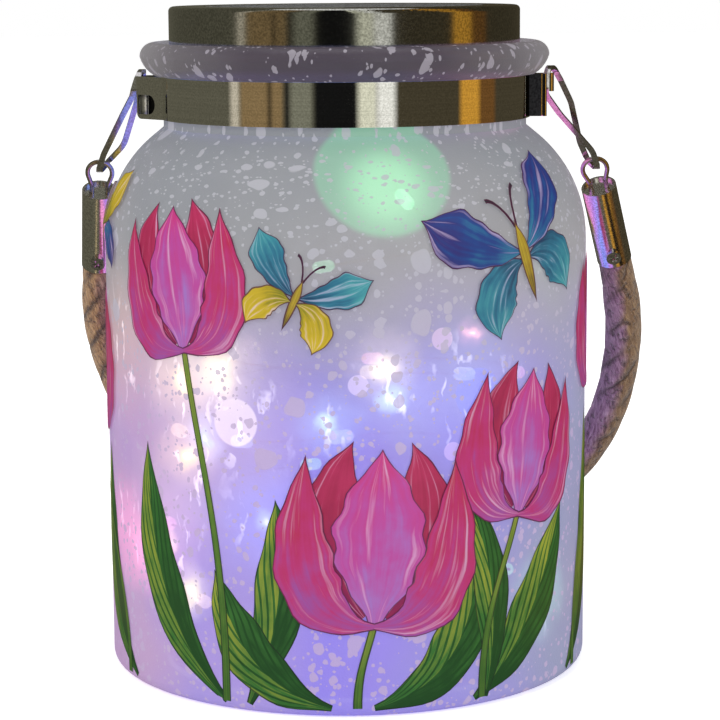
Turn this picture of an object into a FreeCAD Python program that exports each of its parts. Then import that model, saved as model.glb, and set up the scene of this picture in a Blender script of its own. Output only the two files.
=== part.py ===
# Mason jar lantern: a frosted jar with a solar screw lid, a string of fairy lights inside, and a rope
# handle hung from the ears of a steel neck band. Origin at the middle of the jar's base, +Z up, front
# towards -Y.
import FreeCAD, Part
import math
import os
import re

import Sketcher

os.makedirs("parts", exist_ok=True)
V = FreeCAD.Vector
doc = FreeCAD.newDocument("jar_lantern")

# Driving dimensions in millimetres and degrees
SIZES = {
    # glass jar
    "jar_radius": 60,
    "jar_wall": 3.4,
    "base_thickness": 5,
    "heel_radius": 3,
    "inner_heel_radius": 8,
    "foot_inset": 14,
    "foot_recess": 0.8,
    "side_height": 106.8,
    "shoulder_radius": 33,
    "shoulder_turn": 51,
    "neck_radius": 45,
    "neck_wall": 3.6,
    "bead_gap": 0.2,
    "bead_lip": 2.2,
    "bead_reach": 5.65,
    "bead_lower_rise": 4.6,
    "bead_lower_radius": 8,
    "bead_upper_rise": 3.4,
    "bead_upper_radius": 3.5,
    "finish_wall": 3.2,
    "mouth_inset": 7,
    "finish_rise": 5.8,
    "finish_height": 7.8,
    "rim_round": 1,
    # steel neck band and its folded ears
    "strap": 0.8,
    "band_clearance": 0.15,
    "band_rise": 2.11,
    "band_height": 10.4,
    "ear_gap": 0.6,
    "ear_depth": 5.6,
    "ear_roll_radius": 1.4,
    "notch_inset": 1.6,
    "notch_rise": 1.2,
    "notch_height": 4.7,
    "lip_setback": 1,
    "lap_angle": 20,
    "guard_depth": 4.1,
    "guard_place": 4.7,
    "guard_roll_radius": 0.75,
    "flap_depth": 6,
    "flap_length": 10.6,
    "flap_turn": 46,
    "flap_round": 1.6,
    "flap_hole_start": 0.6,
    "flap_hole_end": 6.9,
    # links, rings and ferrules, hung from the ear bars and leaning back with the handle
    "handle_lean": 28,
    "link_width": 1.5,
    "link_thickness": 1,
    "link_eye": 2.85,
    "link_eye_drop": 1.6,
    "link_bend": 4,
    "link_inset": 0.4,
    "link_foot": 1.7,
    "link_foot_bend": 1.6,
    "link_upper_drop": 7.5,
    "link_lower_drop": 19,
    "link_upper_half": 2.7,
    "link_lower_half": 2.2,
    "link_bow_bend": 9,
    # how far each side of a link stands outside its straight way, at five levels
    "right_front_crown": -0.9,
    "right_front_eye": -1.2,
    "right_front_upper": -0.55,
    "right_front_lower": 2.5,
    "right_front_foot": 1.4,
    "right_back_crown": 1.2,
    "right_back_eye": 3,
    "right_back_upper": 2.75,
    "right_back_lower": -0.4,
    "right_back_foot": -0.9,
    "left_front_crown": 1.2,
    "left_front_eye": 1.7,
    "left_front_upper": 1.65,
    "left_front_lower": 1.4,
    "left_front_foot": 0.5,
    "left_back_crown": -0.6,
    "left_back_eye": -0.2,
    "left_back_upper": -1.45,
    "left_back_lower": -3.4,
    "left_back_foot": -1.25,
    # from the ear bar down to the ring, and out from the jar's side to it
    "link_length": 22.63,
    "hook_play": 0.85,
    "right_stand": 2.856,
    "left_stand": 2.261,
    "right_splay": 13.5,
    "left_splay": 4.2,
    "ring_radius": 3.1,
    "ring_wire": 1.2,
    "ring_leg_play": 0.06,
    "ring_shoulder": 3.9,
    "ring_waist": 7.2,
    "ring_waist_bend": 3,
    "ring_leg_place": 2,
    "ring_leg_end": 12.3,
    "ferrule_top": 8.5,
    "ferrule_length": 23,
    "ferrule_radius": 4.5,
    "ferrule_wall": 0.6,
    "ferrule_recess": 0.8,
    "ferrule_disc": 1.2,
    "ferrule_screw_rise": 3.6,
    "screw_head_radius": 1.9,
    "screw_head_height": 1,
    "screw_shank_radius": 1,
    "screw_reach": 4.2,
    "screw_play": 0.08,
    "screw_star_length": 2.4,
    "screw_star_width": 0.55,
    "screw_star_depth": 0.6,
    # rope
    "rope_radius": 4.3,
    "rope_end_play": 0.1,
    "rope_mouth_gap": 0.1,
    "rope_end_length": 15,
    # lid cap, insert and solar panel
    "cap_inset": 1.6,
    "cap_sheet": 0.5,
    "cap_gap": 1.2,
    "gasket_gap": 0.15,
    "cap_round": 1.2,
    "cap_rim": 8.8,
    "insert_inset": 1.5,
    "insert_flange": 1.35,
    "insert_plug_play": 0.6,
    "insert_floor": 1.4,
    "seat_gap": 0.1,
    "window_play": 0.3,
    "window_frame": 1.7,
    "window_thickness": 0.95,
    "panel_inset": 0.07,
    "panel_play": 0.2,
    "panel_thickness": 1.9,
    "gasket_thickness": 1,
    "gasket_width": 2.6,
    # battery module under the insert
    "module_wall": 1.8,
    "cover_thickness": 1.6,
    "cover_play": 0.2,
    "post_radius": 3,
    "post_inset": 4.4,
    "cover_head_radius": 2,
    "cover_head_height": 1.1,
    "cover_shank_radius": 0.95,
    "cover_screw_length": 8,
    "cover_screw_play": 0.06,
    "cell_radius": 7.1,
    "cell_length": 48.6,
    "cell_nub_radius": 2.7,
    "cell_nub": 1.4,
    "cell_end_room": 3,
    "cell_lift": 3.6,
    "cell_clearance": 0.85,
    "cradle_place": 15,
    "cradle_width": 16,
    "cradle_rib": 2.2,
    "cradle_play": 0.12,
    "contact_leaf": 0.4,
    "contact_width": 10,
    "contact_height": 11,
    "contact_gap": 0.1,
    "board_length": 26,
    "board_width": 16,
    "board_thickness": 1.2,
    "board_drop": 4.4,
    "board_post_radius": 1.8,
    "board_post_place": 9,
    "chip_length": 5,
    "chip_width": 4,
    "chip_height": 1.3,
    "coil_radius": 2.2,
    "coil_height": 2.6,
    "part_spacing": 9,
    "switch_place": 17,
    "switch_length": 10,
    "switch_width": 4.6,
    "switch_height": 4,
    "slider_length": 3,
    "slider_width": 2.2,
    "slider_reach": 1.3,
    "slider_travel": 2.5,
    "slider_play": 0.2,
    "grommet_x": 10,
    "grommet_y": -8,
    "grommet_flange_radius": 3,
    "grommet_flange": 1.2,
    "grommet_stem_radius": 2,
    "grommet_stem": 3.2,
    "grommet_play": 0.08,
    # fairy lights
    "wire_radius": 0.4,
    "led_radius": 1.6,
    "led_length": 6,
}
# Sizes and places that follow from the driving ones, from the jar's shoulder upwards and from the neck
# outwards
TURN = "(shoulder_turn * 1 deg)"
DERIVED = {
    "foot_radius": "jar_radius - foot_inset",
    "shoulder_end_radius": f"jar_radius - shoulder_radius * (1 - cos{TURN})",
    "shoulder_end_height": f"side_height + shoulder_radius * sin{TURN}",
    "neck_bottom": f"shoulder_end_height + (shoulder_end_radius - neck_radius) / tan{TURN}",
    "band_bottom": "neck_bottom + band_rise",
    "band_top": "band_bottom + band_height",
    "bead_bottom": "band_top + bead_gap",
    "finish_root": "bead_bottom + finish_rise",
    "rim_height": "finish_root + finish_height",
    "mouth_radius": "neck_radius - mouth_inset",
    "finish_radius": "mouth_radius + finish_wall",
    "ear_reach": "neck_radius + ear_depth",
    "lip_reach": "ear_reach - lip_setback",
    "guard_reach": "neck_radius + guard_depth",
    "flap_reach": "neck_radius + flap_depth",
    "notch_start": "neck_radius + notch_inset",
    "notch_bottom": "band_bottom + notch_rise",
    "notch_top": "notch_bottom + notch_height",
    "bar_height": "(notch_top + band_top) / 2",
    "link_place": "ear_reach - link_inset",
    "right_hang": "jar_radius + right_stand",
    "left_hang": "jar_radius + left_stand",
    "cap_radius": "neck_radius - cap_inset",
    "cap_bottom": "finish_root + cap_gap",
    "flange_bottom": "rim_height + gasket_gap + gasket_thickness",
    "flange_top": "flange_bottom + insert_flange",
    "cap_ceiling": "flange_top + seat_gap",
    "cap_top": "cap_ceiling + cap_sheet",
    "window_radius": "cap_radius - cap_rim",
    "insert_radius": "cap_radius - insert_inset",
    "frame_radius": "window_radius - window_play",
    "frame_top": "cap_top - seat_gap / 2",
    "lens_radius": "frame_radius - window_frame",
    "lens_seat": "frame_top - window_thickness - seat_gap / 2",
    "panel_side": "(lens_radius - panel_inset) * sqrt(2)",
    "pocket_floor": "lens_seat - panel_thickness - seat_gap",
    "insert_bottom": "pocket_floor - insert_floor",
    "board_top": "insert_bottom - board_drop",
    "board_bottom": "board_top - board_thickness",
    "cell_height": "board_bottom - coil_height - cell_clearance - cell_radius",
    "cover_top": "cell_height - cell_radius - cell_lift",
    "module_bottom": "cover_top - cover_thickness",
    "cell_end": "cell_length / 2 + cell_nub + contact_gap + contact_leaf",
    "module_inner": "cell_end + cell_end_room",
    "module_radius": "module_inner + module_wall",
    "post_place": "module_radius - post_inset",
}
sheet = doc.addObject("Spreadsheet::Sheet", "dims")
rows = list(SIZES.items()) + [(alias, f"={text}") for alias, text in DERIVED.items()]
for row, (alias, value) in enumerate(rows, 1):
    sheet.set(f"A{row}", alias)
    sheet.set(f"B{row}", str(value))
    sheet.setAlias(f"B{row}", alias)
doc.recompute()
names = set(SIZES) | set(DERIVED)


def bound(text):
    """The expression with each size's name pointed at the sheet."""
    return re.sub(r"[a-z_]+", lambda word: f"dims.{word[0]}" if word[0] in names else word[0], str(text))


def size(text):
    """The present value of an expression in the sheet's names."""
    value = sheet.evalExpression(bound(text))
    return float(getattr(value, "Value", value))


def bind(obj, **expressions):
    """Binds properties of an object to expressions."""
    for prop, text in expressions.items():
        obj.setExpression(prop.replace("_at_", "Placement.Base."), bound(text))


# Helpers for turned pieces, plain solids and cuts
def outline_sketch(body, name, points):
    """A closed sketch in the XZ plane. Each point is (x, z), or (x, z, radius, side) where an arc runs from it
    to the next point, with its centre to the left (side 1) or right (side -1) of that way."""
    plane = next(f for f in body.Origin.OriginFeatures if f.Role == "XZ_Plane")
    sketch = body.newObject("Sketcher::SketchObject", name)
    sketch.AttachmentSupport = (plane, [""])
    sketch.MapMode = "FlatFace"
    at = [V(size(p[0]), size(p[1]), 0) for p in points]
    ends = []
    for i, point in enumerate(points):
        start, end = at[i], at[(i + 1) % len(at)]
        if len(point) == 2:
            index = sketch.addGeometry(Part.LineSegment(start, end), False)
            ends.append((index, 1, 2))
            continue
        radius, side = size(point[2]), point[3]
        middle, half = (start + end) / 2, (end - start).Length / 2
        along = (end - start).normalize()
        centre = middle + V(-along.y, along.x, 0) * side * math.sqrt(radius**2 - half**2)
        first, last = (start, end) if side > 0 else (end, start)
        angles = [math.atan2(p.y - centre.y, p.x - centre.x) for p in (first, last)]
        if angles[1] < angles[0]:
            angles[1] += 2 * math.pi
        arc = Part.ArcOfCircle(Part.Circle(centre, V(0, 0, 1), radius), *angles)
        index = sketch.addGeometry(arc, False)
        ends.append((index, 1, 2) if side > 0 else (index, 2, 1))
        limit = sketch.addConstraint(Sketcher.Constraint("Radius", index, radius))
        sketch.setExpression(f"Constraints[{limit}]", bound(point[2]))
    for i, (index, start, end) in enumerate(ends):
        following = ends[(i + 1) % len(ends)]
        sketch.addConstraint(Sketcher.Constraint("Coincident", index, end, following[0], following[1]))
        across = ("DistanceX", -2, points[i][0], at[i].x)
        upward = ("DistanceY", -1, points[i][1], at[i].y)
        for way, axis, text, value in (across, upward):
            if str(text) == "0":
                sketch.addConstraint(Sketcher.Constraint("PointOnObject", index, start, axis))
                continue
            limit = sketch.addConstraint(Sketcher.Constraint(way, -1, 1, index, start, value))
            sketch.setExpression(f"Constraints[{limit}]", bound(text))
    return sketch


def turned(label, points):
    """A body turned about the Z axis from a closed half outline."""
    body = doc.addObject("PartDesign::Body", label)
    sketch = outline_sketch(body, f"{label}_outline", points)
    feature = body.newObject("PartDesign::Revolution", f"{label}_turned")
    feature.Profile = sketch
    feature.ReferenceAxis = (sketch, ["V_Axis"])
    feature.Angle = 360
    sketch.Visibility = False
    return body


TURNS = {
    "x": FreeCAD.Rotation(V(0, 1, 0), 90),
    "y": FreeCAD.Rotation(V(1, 0, 0), -90),
    "z": FreeCAD.Rotation(),
}


def rod(label, radius, height, x=0, y=0, z=0, way="z"):
    """A round bar whose axis runs from (x, y, z) along +x, +y or +z."""
    obj = doc.addObject("Part::Cylinder", label)
    obj.Placement = FreeCAD.Placement(V(), TURNS[way])
    bind(obj, Radius=radius, Height=height, _at_x=x, _at_y=y, _at_z=z)
    return obj


def block(label, length, width, height, x=0, y=0, z=0):
    """A block centred on (x, y), standing on z."""
    obj = doc.addObject("Part::Box", label)
    bind(obj, Length=length, Width=width, Height=height)
    bind(obj, _at_x=f"({x}) - ({length}) / 2", _at_y=f"({y}) - ({width}) / 2", _at_z=z)
    return obj


def joined(label, pieces):
    """The pieces as one solid."""
    obj = doc.addObject("Part::MultiFuse", label)
    obj.Shapes = pieces
    obj.Refine = True
    return obj


def cut(label, base, tools):
    """The base with the tools taken out of it."""
    obj = doc.addObject("Part::Cut", label)
    obj.Base = base
    obj.Tool = tools[0] if len(tools) == 1 else joined(f"{label}_tools", tools)
    obj.Refine = True
    return obj


def group(label, pieces):
    """Like pieces in one node, as separate solids."""
    obj = doc.addObject("Part::Compound", label)
    obj.Links = pieces
    return obj


def set_shape(label, shape, placement=None):
    """A piece whose shape is built directly."""
    obj = doc.addObject("Part::Feature", label)
    obj.Shape = shape
    if placement:
        obj.Placement = placement
    return obj


nodes = []

# Glass jar: blown glass with a thick bead under the mouth and a plain finish for the lid above it
inner_r = "(jar_radius - jar_wall)"
inner_shoulder = "(shoulder_radius - jar_wall)"
inner_shoulder_r = f"(jar_radius - shoulder_radius + {inner_shoulder} * cos{TURN})"
inner_shoulder_z = f"(side_height + {inner_shoulder} * sin{TURN})"
neck_inner = "(neck_radius - neck_wall)"
bead_mid = "(bead_bottom + bead_lower_rise)"
bead_top = f"({bead_mid} + bead_upper_rise)"
bead_out = "(neck_radius + bead_reach)"
jar_glass = turned("jar_glass", [
    ("0", "foot_recess"),
    ("foot_radius", "foot_recess"),
    ("foot_radius + foot_recess", "0"),
    ("jar_radius - heel_radius", "0", "heel_radius", 1),
    ("jar_radius", "heel_radius"),
    ("jar_radius", "side_height", "shoulder_radius", 1),
    ("shoulder_end_radius", "shoulder_end_height"),
    ("neck_radius", "neck_bottom"),
    ("neck_radius", "bead_bottom"),
    ("neck_radius + bead_lip", "bead_bottom", "bead_lower_radius", 1),
    (bead_out, bead_mid, "bead_upper_radius", 1),
    (f"{bead_out} - bead_upper_rise", bead_top),
    ("finish_radius", "finish_root"),
    ("finish_radius", "rim_height - rim_round", "rim_round", 1),
    ("finish_radius - rim_round", "rim_height"),
    ("mouth_radius + rim_round", "rim_height", "rim_round", 1),
    ("mouth_radius", "rim_height - rim_round"),
    ("mouth_radius", "bead_bottom + bead_lip"),
    (neck_inner, "bead_bottom - bead_lower_rise"),
    (neck_inner, f"{inner_shoulder_z} + ({inner_shoulder_r} - {neck_inner}) / tan{TURN}"),
    (inner_shoulder_r, inner_shoulder_z, inner_shoulder, -1),
    (inner_r, "side_height"),
    (inner_r, "base_thickness + inner_heel_radius", "inner_heel_radius", -1),
    (f"{inner_r} - inner_heel_radius", "base_thickness"),
    ("0", "base_thickness"),
])
nodes.append(jar_glass)

# Neck band: one steel strap round the neck, folded out into a flat ear at each side. A notch in the fold
# leaves a bar at the top of the ear for the link, and the strap's ends lap at the back.
band_in = "(neck_radius + band_clearance)"
band_out = f"({band_in} + strap)"
ear_thick = "(ear_gap + 2 * strap)"
ring_outer = rod("band_outer", band_out, "band_height", z="band_bottom")
lap = rod("lap_outer", f"{band_out} + strap", "band_height", z="band_bottom")
lap.FirstAngle = 0
bind(lap, Angle="lap_angle")
lap.Placement.Rotation = FreeCAD.Rotation(V(0, 0, 1), 90 - size("lap_angle") / 2)
band_solids = [ring_outer, lap]
band_cuts = [rod("band_bore", band_in, "band_height", z="band_bottom")]
for name, side in (("right", 1), ("left", -1)):
    middle = f"{side} * (ear_reach + neck_radius) / 2"
    end = f"{side} * ear_reach"
    band_solids.append(block(f"{name}_ear", "ear_depth", ear_thick, "band_height", x=middle,
                             z="band_bottom"))
    band_solids.append(rod(f"{name}_roll", "ear_roll_radius", "band_height", x=end, z="band_bottom"))
    band_cuts.append(block(f"{name}_fold", "ear_depth", "ear_gap", "band_height", x=middle,
                           z="band_bottom"))
    bore = "ear_roll_radius - strap"
    band_cuts.append(rod(f"{name}_roll_bore", bore, "band_height", x=end, z="band_bottom"))
    slot_x = f"{side} * (notch_start + notch_height / 2)"
    slot_deep = "2 * ear_roll_radius + 2 * strap"
    band_cuts.append(rod(f"{name}_notch_end", "notch_height / 2", slot_deep, x=slot_x,
                         y=f"-({slot_deep}) / 2", z="notch_bottom + notch_height / 2", way="y"))
    slot_reach = "ear_reach + 2 * ear_roll_radius - notch_start - notch_height / 2"
    band_cuts.append(block(f"{name}_notch", slot_reach, slot_deep, "notch_height",
                           x=f"{slot_x} + {side} * ({slot_reach}) / 2", z="notch_bottom"))
    lip_cut = "ear_reach + 2 * ear_roll_radius - lip_reach"
    band_cuts.append(block(f"{name}_lip_cut", lip_cut, slot_deep, "notch_top - band_bottom",
                           x=f"{side} * (lip_reach + ({lip_cut}) / 2)", z="band_bottom"))
# the right ear has a flat guard in front of its bar, rolled at the free edge
band_solids.append(block("guard_plate", "guard_depth", "strap", "band_height",
                         x="(guard_reach + neck_radius) / 2", y="-guard_place", z="band_bottom"))
band_solids.append(rod("guard_roll", "guard_roll_radius", "band_height", x="guard_reach", y="-guard_place",
                       z="band_bottom"))
# the left ear has a flat flap that leaves the band aslant, with a round lower corner and a D-shaped hole
flap_height = "(band_height - flap_round)"
corner_z = "band_bottom + flap_round"
flap_blank = joined("flap_blank", [
    block("flap_upper", "flap_length", "strap", flap_height, x="flap_length / 2", z=corner_z),
    block("flap_lower", "flap_length - flap_round", "strap", "flap_round",
          x="(flap_length + flap_round) / 2", z="band_bottom"),
    rod("flap_corner", "flap_round", "strap", x="flap_round", y="-strap / 2", z=corner_z, way="y"),
])
hole_round = "(flap_hole_end - notch_height / 2)"
flap = cut("left_flap", flap_blank, [
    rod("flap_hole_round", "notch_height / 2", "2 * strap", x=hole_round, y="-strap",
        z="notch_bottom + notch_height / 2", way="y"),
    block("flap_hole", f"{hole_round} - flap_hole_start", "2 * strap", "notch_height",
          x=f"({hole_round} + flap_hole_start) / 2", z="notch_bottom"),
])
flap.Placement = FreeCAD.Placement(V(-size("flap_reach"), -size("guard_place"), 0),
                                   FreeCAD.Rotation(V(0, 0, 1), -size("flap_turn")))
band_solids.append(flap)
neck_band = cut("neck_band", joined("band_strap", band_solids), band_cuts)
nodes.append(neck_band)


# Bent wires and tubes: the shortest run kept, and the share of its shorter run that a free bend takes up
least_run = 1e-4
arc_share = 0.45


def bent_path(points, radii=None, closed=False):
    """A wire of straight runs joined by tangent arcs, and the arcs' radii. Without given radii each arc is as
    large as its two runs allow. A closed path starts halfway along its last run."""
    count = len(points)
    edges, used = [], []
    here = (points[-1] + points[0]) / 2 if closed else points[0]
    corners = range(count) if closed else range(1, count - 1)
    for i in corners:
        before, point, after = points[i - 1], points[i], points[(i + 1) % count]
        back, ahead = (before - point), (after - point)
        shorter = min(back.Length, ahead.Length)
        back.normalize()
        ahead.normalize()
        half_turn = (math.pi - back.getAngle(ahead)) / 2
        radius = radii[i] if radii else arc_share * shorter / math.tan(half_turn)
        reach = radius * math.tan(half_turn)
        start, end = point + back * reach, point + ahead * reach
        inward = (back + ahead).normalize()
        middle = point + inward * (radius / math.cos(half_turn) - radius)
        if (start - here).Length > least_run:
            edges.append(Part.LineSegment(here, start).toShape())
        edges.append(Part.Arc(start, middle, end).toShape())
        used.append(radius)
        here = end
    last = (points[-1] + points[0]) / 2 if closed else points[-1]
    if (last - here).Length > least_run:
        edges.append(Part.LineSegment(here, last).toShape())
    return Part.Wire(edges), used


def tube(label, points, radius, radii=None):
    """A round tube along bent_path, with its length, least arc and share of its ideal volume printed."""
    path, used = bent_path(points, radii)
    circle = Part.Wire([Part.Circle(points[0], points[1] - points[0], radius).toShape()])
    solid = path.makePipeShell([circle], True, False)
    share = solid.Volume / (math.pi * radius**2 * path.Length)
    print(f"{label}: length {path.Length:.1f}, least radius {min(used):.1f}, volume share {share:.4f}")
    return solid


# Links: one flat steel strip each, bent to a long twisted eye that hangs on the ear bar and holds the ring
# in its foot
bar_middle = size("bar_height")
handle_frame = FreeCAD.Placement(V(0, 0, bar_middle), FreeCAD.Rotation(V(1, 0, 0), size("handle_lean")))
half_strip = size("link_thickness / 2")
eye = size("link_eye") + half_strip
foot = size("link_foot") + half_strip
foot_drop = size("link_length + ring_wire / 2 + hook_play") + half_strip


def strip_link(name, place, hang):
    """The closed strip, eye round x = place and foot round x = hang, in the handle's own frame. Its front
    and back sides stand off the straight way between by a distance of their own at each of five levels."""
    outward = math.copysign(1, hang)
    levels = {
        "foot": (foot_drop, foot, size("link_foot_bend")),
        "lower": (size("link_lower_drop"), size("link_lower_half"), size("link_bow_bend")),
        "upper": (size("link_upper_drop"), size("link_upper_half"), size("link_bow_bend")),
        "eye": (size("link_eye_drop"), eye, size("link_bend")),
        "crown": (-eye, eye, eye),
    }

    def corner(side, level):
        drop, half, _ = levels[level]
        across = place + (hang - place) * max(drop, 0) / foot_drop + outward * size(f"{name}_{side}_{level}")
        return V(across, -half if side == "front" else half, -drop)

    upward = list(levels)
    downward = upward[::-1]
    corners = [corner("front", level) for level in upward] + [corner("back", level) for level in downward]
    path, _ = bent_path(corners, [levels[level][2] for level in upward + downward], closed=True)
    start = (corners[0] + corners[-1]) * 0.5
    half_width = size("link_width") / 2
    corner_signs = ((-1, -1), (1, -1), (1, 1), (-1, 1), (-1, -1))
    section = Part.makePolygon([start + V(a * half_width, 0, b * half_strip) for a, b in corner_signs])
    sweep = Part.BRepOffsetAPI.MakePipeShell(path)
    sweep.setBiNormalMode(V(1, 0, 0))
    sweep.add(section, False, False)
    sweep.build()
    sweep.makeSolid()
    return sweep.shape()


link_place = size("link_place")
hangs = {"right": size("right_hang"), "left": -size("left_hang")}
for name, hang in hangs.items():
    nodes.append(set_shape(f"{name}_link", strip_link(name, math.copysign(link_place, hang), hang),
                           handle_frame))

# Rings and ferrules: a wire staple, rounded to a ring, whose legs go through the disc of a drawn steel cap
# over the rope's end, with one screw through the cap into the rope
bow_radius, leg = size("ring_radius"), size("ring_leg_place")
half_staple = [
    (leg, -size("ring_leg_end"), 0),
    (leg, -size("ring_waist"), size("ring_waist_bend")),
    (bow_radius, -size("ring_shoulder"), size("ring_waist_bend")),
    (bow_radius, 0, bow_radius),
]
wire = size("ring_wire / 2")
ferrule_frames = {}
for name, hang in hangs.items():
    splay = math.copysign(size(f"{name}_splay"), hang)
    frame = FreeCAD.Placement(V(hang, 0, -size("link_length")), FreeCAD.Rotation(V(0, 1, 0), -splay))
    ferrule_frames[name] = handle_frame.multiply(frame)
    staple = [V(-x, 0, z) for x, z, _ in half_staple] + [V(x, 0, z) for x, z, _ in half_staple[::-1]]
    path, _ = bent_path(staple, [bend for _, _, bend in half_staple + half_staple[::-1]])
    circle = Part.Wire([Part.Circle(staple[0], V(0, 0, 1), wire).toShape()])
    nodes.append(set_shape(f"{name}_ring", path.makePipeShell([circle], True, False), ferrule_frames[name]))

ferrule_bottom = "-(ferrule_top + ferrule_length)"
ferrule_bore = "(ferrule_radius - ferrule_wall)"
disc_top = "(-ferrule_top - ferrule_recess)"
screw_z = f"({ferrule_bottom} + ferrule_screw_rise)"
hole_r = "screw_shank_radius + screw_play"
for name in hangs:
    barrel = rod(f"{name}_barrel", "ferrule_radius", "ferrule_length", z=ferrule_bottom)
    deep = "ferrule_length - ferrule_recess - ferrule_disc"
    leg_hole = "ring_wire / 2 + ring_leg_play"
    leg_hole_z = f"{disc_top} - 1.5 * ferrule_disc"
    tools = [
        rod(f"{name}_bore", ferrule_bore, deep, z=ferrule_bottom),
        rod(f"{name}_cup", ferrule_bore, "ferrule_recess", z=disc_top),
        rod(f"{name}_leg_hole_a", leg_hole, "2 * ferrule_disc", x="ring_leg_place", z=leg_hole_z),
        rod(f"{name}_leg_hole_b", leg_hole, "2 * ferrule_disc", x="-ring_leg_place", z=leg_hole_z),
        rod(f"{name}_screw_hole", hole_r, "ferrule_radius", y="-ferrule_radius", z=screw_z, way="y"),
    ]
    ferrule = cut(f"{name}_ferrule", barrel, tools)
    ferrule.Placement = ferrule_frames[name]
    nodes.append(ferrule)

screws = []
star_bars = 3
for name in hangs:
    head = doc.addObject("Part::Cylinder", f"{name}_screw_head")
    head.Placement = FreeCAD.Placement(V(), TURNS["y"])
    bind(head, Radius="screw_head_radius", Height="screw_head_height")
    bind(head, _at_y="-ferrule_radius - screw_head_height", _at_z=screw_z)
    shank = rod(f"{name}_screw_shank", "screw_shank_radius", "screw_reach", y="-ferrule_radius", z=screw_z,
                way="y")
    star = []
    for step in range(star_bars):
        bar = doc.addObject("Part::Box", f"{name}_screw_star_{step}")
        bind(bar, Length="screw_star_length", Width="screw_star_depth", Height="screw_star_width")
        corner = V(-size("screw_star_length") / 2, 0, -size("screw_star_width") / 2)
        spin = FreeCAD.Rotation(V(0, 1, 0), 180 * step / star_bars)
        middle = V(0, -size("ferrule_radius + screw_head_height"), size(screw_z))
        bar.Placement = FreeCAD.Placement(middle + spin.multVec(corner), spin)
        star.append(bar)
    screw = cut(f"{name}_screw", joined(f"{name}_screw_blank", [head, shank]), star)
    screw.Placement = ferrule_frames[name]
    screws.append(screw)
nodes.append(group("ferrule_screws", screws))

# Rope handle: twisted fibre rope whose ends are pressed into the ferrules. It hangs in the handle's
# plane, drawn as (across, drop) from the ear bars, a little fuller at the right, for a jar and a bar
# height that it is scaled from.
ROPE_JAR, ROPE_BAR = 60, 144.947
ROPE_ROUTE = [
    (-65.6, 67.8), (-63.5, 86), (-57.5, 105), (-45, 123), (-26, 137), (1, 145), (27, 145), (50, 137),
    (64.5, 122.5), (72, 104.5), (74.4, 86), (73.7, 68),
]
mouth_drop = size("ferrule_top + ferrule_length + rope_mouth_gap")
to_plane = handle_frame.inverse()
mouths = {}
for name, frame in ferrule_frames.items():
    mouths[name] = to_plane.multVec(frame.multVec(V(0, 0, -mouth_drop)))
wider, deeper = size("jar_radius") / ROPE_JAR, size("bar_height") / ROPE_BAR
route = [mouths["left"]] + [V(x * wider, 0, -drop * deeper) for x, drop in ROPE_ROUTE] + [mouths["right"]]
rope = tube("handle_rope", route, size("rope_radius"))
rope_end = size(f"{ferrule_bore} - rope_end_play")
for name, frame in ferrule_frames.items():
    way = to_plane.multVec(frame.multVec(V(0, 0, 0))) - mouths[name]
    way.normalize()
    end_length = size("rope_end_length + rope_mouth_gap")
    rope = rope.fuse(Part.makeCylinder(rope_end, end_length, mouths[name], way))
    across = V(0, 1, 0)
    hole_middle = mouths[name] + way * size("ferrule_screw_rise + rope_mouth_gap")
    rope = rope.cut(Part.makeCylinder(size(hole_r), size("ferrule_radius + screw_reach"),
                                      hole_middle - across * size("2 * ferrule_radius"), across))
nodes.append(set_shape("handle_rope", rope.removeSplitter(), handle_frame))

# Lid: a drawn steel screw cap, open on top, that clamps the insert with the solar panel onto the glass
# rim
cap_inner = "(cap_radius - cap_sheet)"
inner_round = "(cap_round - cap_sheet)"
nodes.append(turned("lid_cap", [
    ("cap_radius", "cap_bottom"),
    ("cap_radius", "cap_top - cap_round", "cap_round", 1),
    ("cap_radius - cap_round", "cap_top"),
    ("window_radius", "cap_top"),
    ("window_radius", "cap_ceiling"),
    ("cap_radius - cap_round", "cap_ceiling", inner_round, -1),
    (cap_inner, "cap_top - cap_round"),
    (cap_inner, "cap_bottom"),
]))
plug_r = "(mouth_radius - insert_plug_play)"
insert_disc = turned("insert_disc", [
    ("0", "insert_bottom"),
    (plug_r, "insert_bottom"),
    (plug_r, "flange_bottom"),
    ("insert_radius", "flange_bottom"),
    ("insert_radius", "flange_top"),
    ("frame_radius", "flange_top"),
    ("frame_radius", "frame_top"),
    ("lens_radius", "frame_top"),
    ("lens_radius", "lens_seat"),
    ("0", "lens_seat"),
])
pocket_side = "(panel_side + 2 * panel_play)"
pocket = block("panel_pocket", pocket_side, pocket_side, "panel_thickness + seat_gap", z="pocket_floor")
board_posts = [
    rod(f"board_post_{i}", "board_post_radius", "board_drop", x=f"{side} * board_post_place", z="board_top")
    for i, side in enumerate((-1, 1))
]
nodes.append(cut("lid_insert", joined("insert_with_posts", [insert_disc] + board_posts), [pocket]))
nodes.append(block("solar_panel", "panel_side", "panel_side", "panel_thickness", z="pocket_floor"))
nodes.append(rod("panel_window", "lens_radius - seat_gap", "window_thickness", z="lens_seat"))
gasket_bottom = "(flange_bottom - gasket_thickness)"
gasket_in = "(finish_radius - gasket_width)"
nodes.append(cut("lid_gasket", rod("gasket_disc", "finish_radius", "gasket_thickness", z=gasket_bottom),
                 [rod("gasket_hole", gasket_in, "gasket_thickness", z=gasket_bottom)]))

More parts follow.
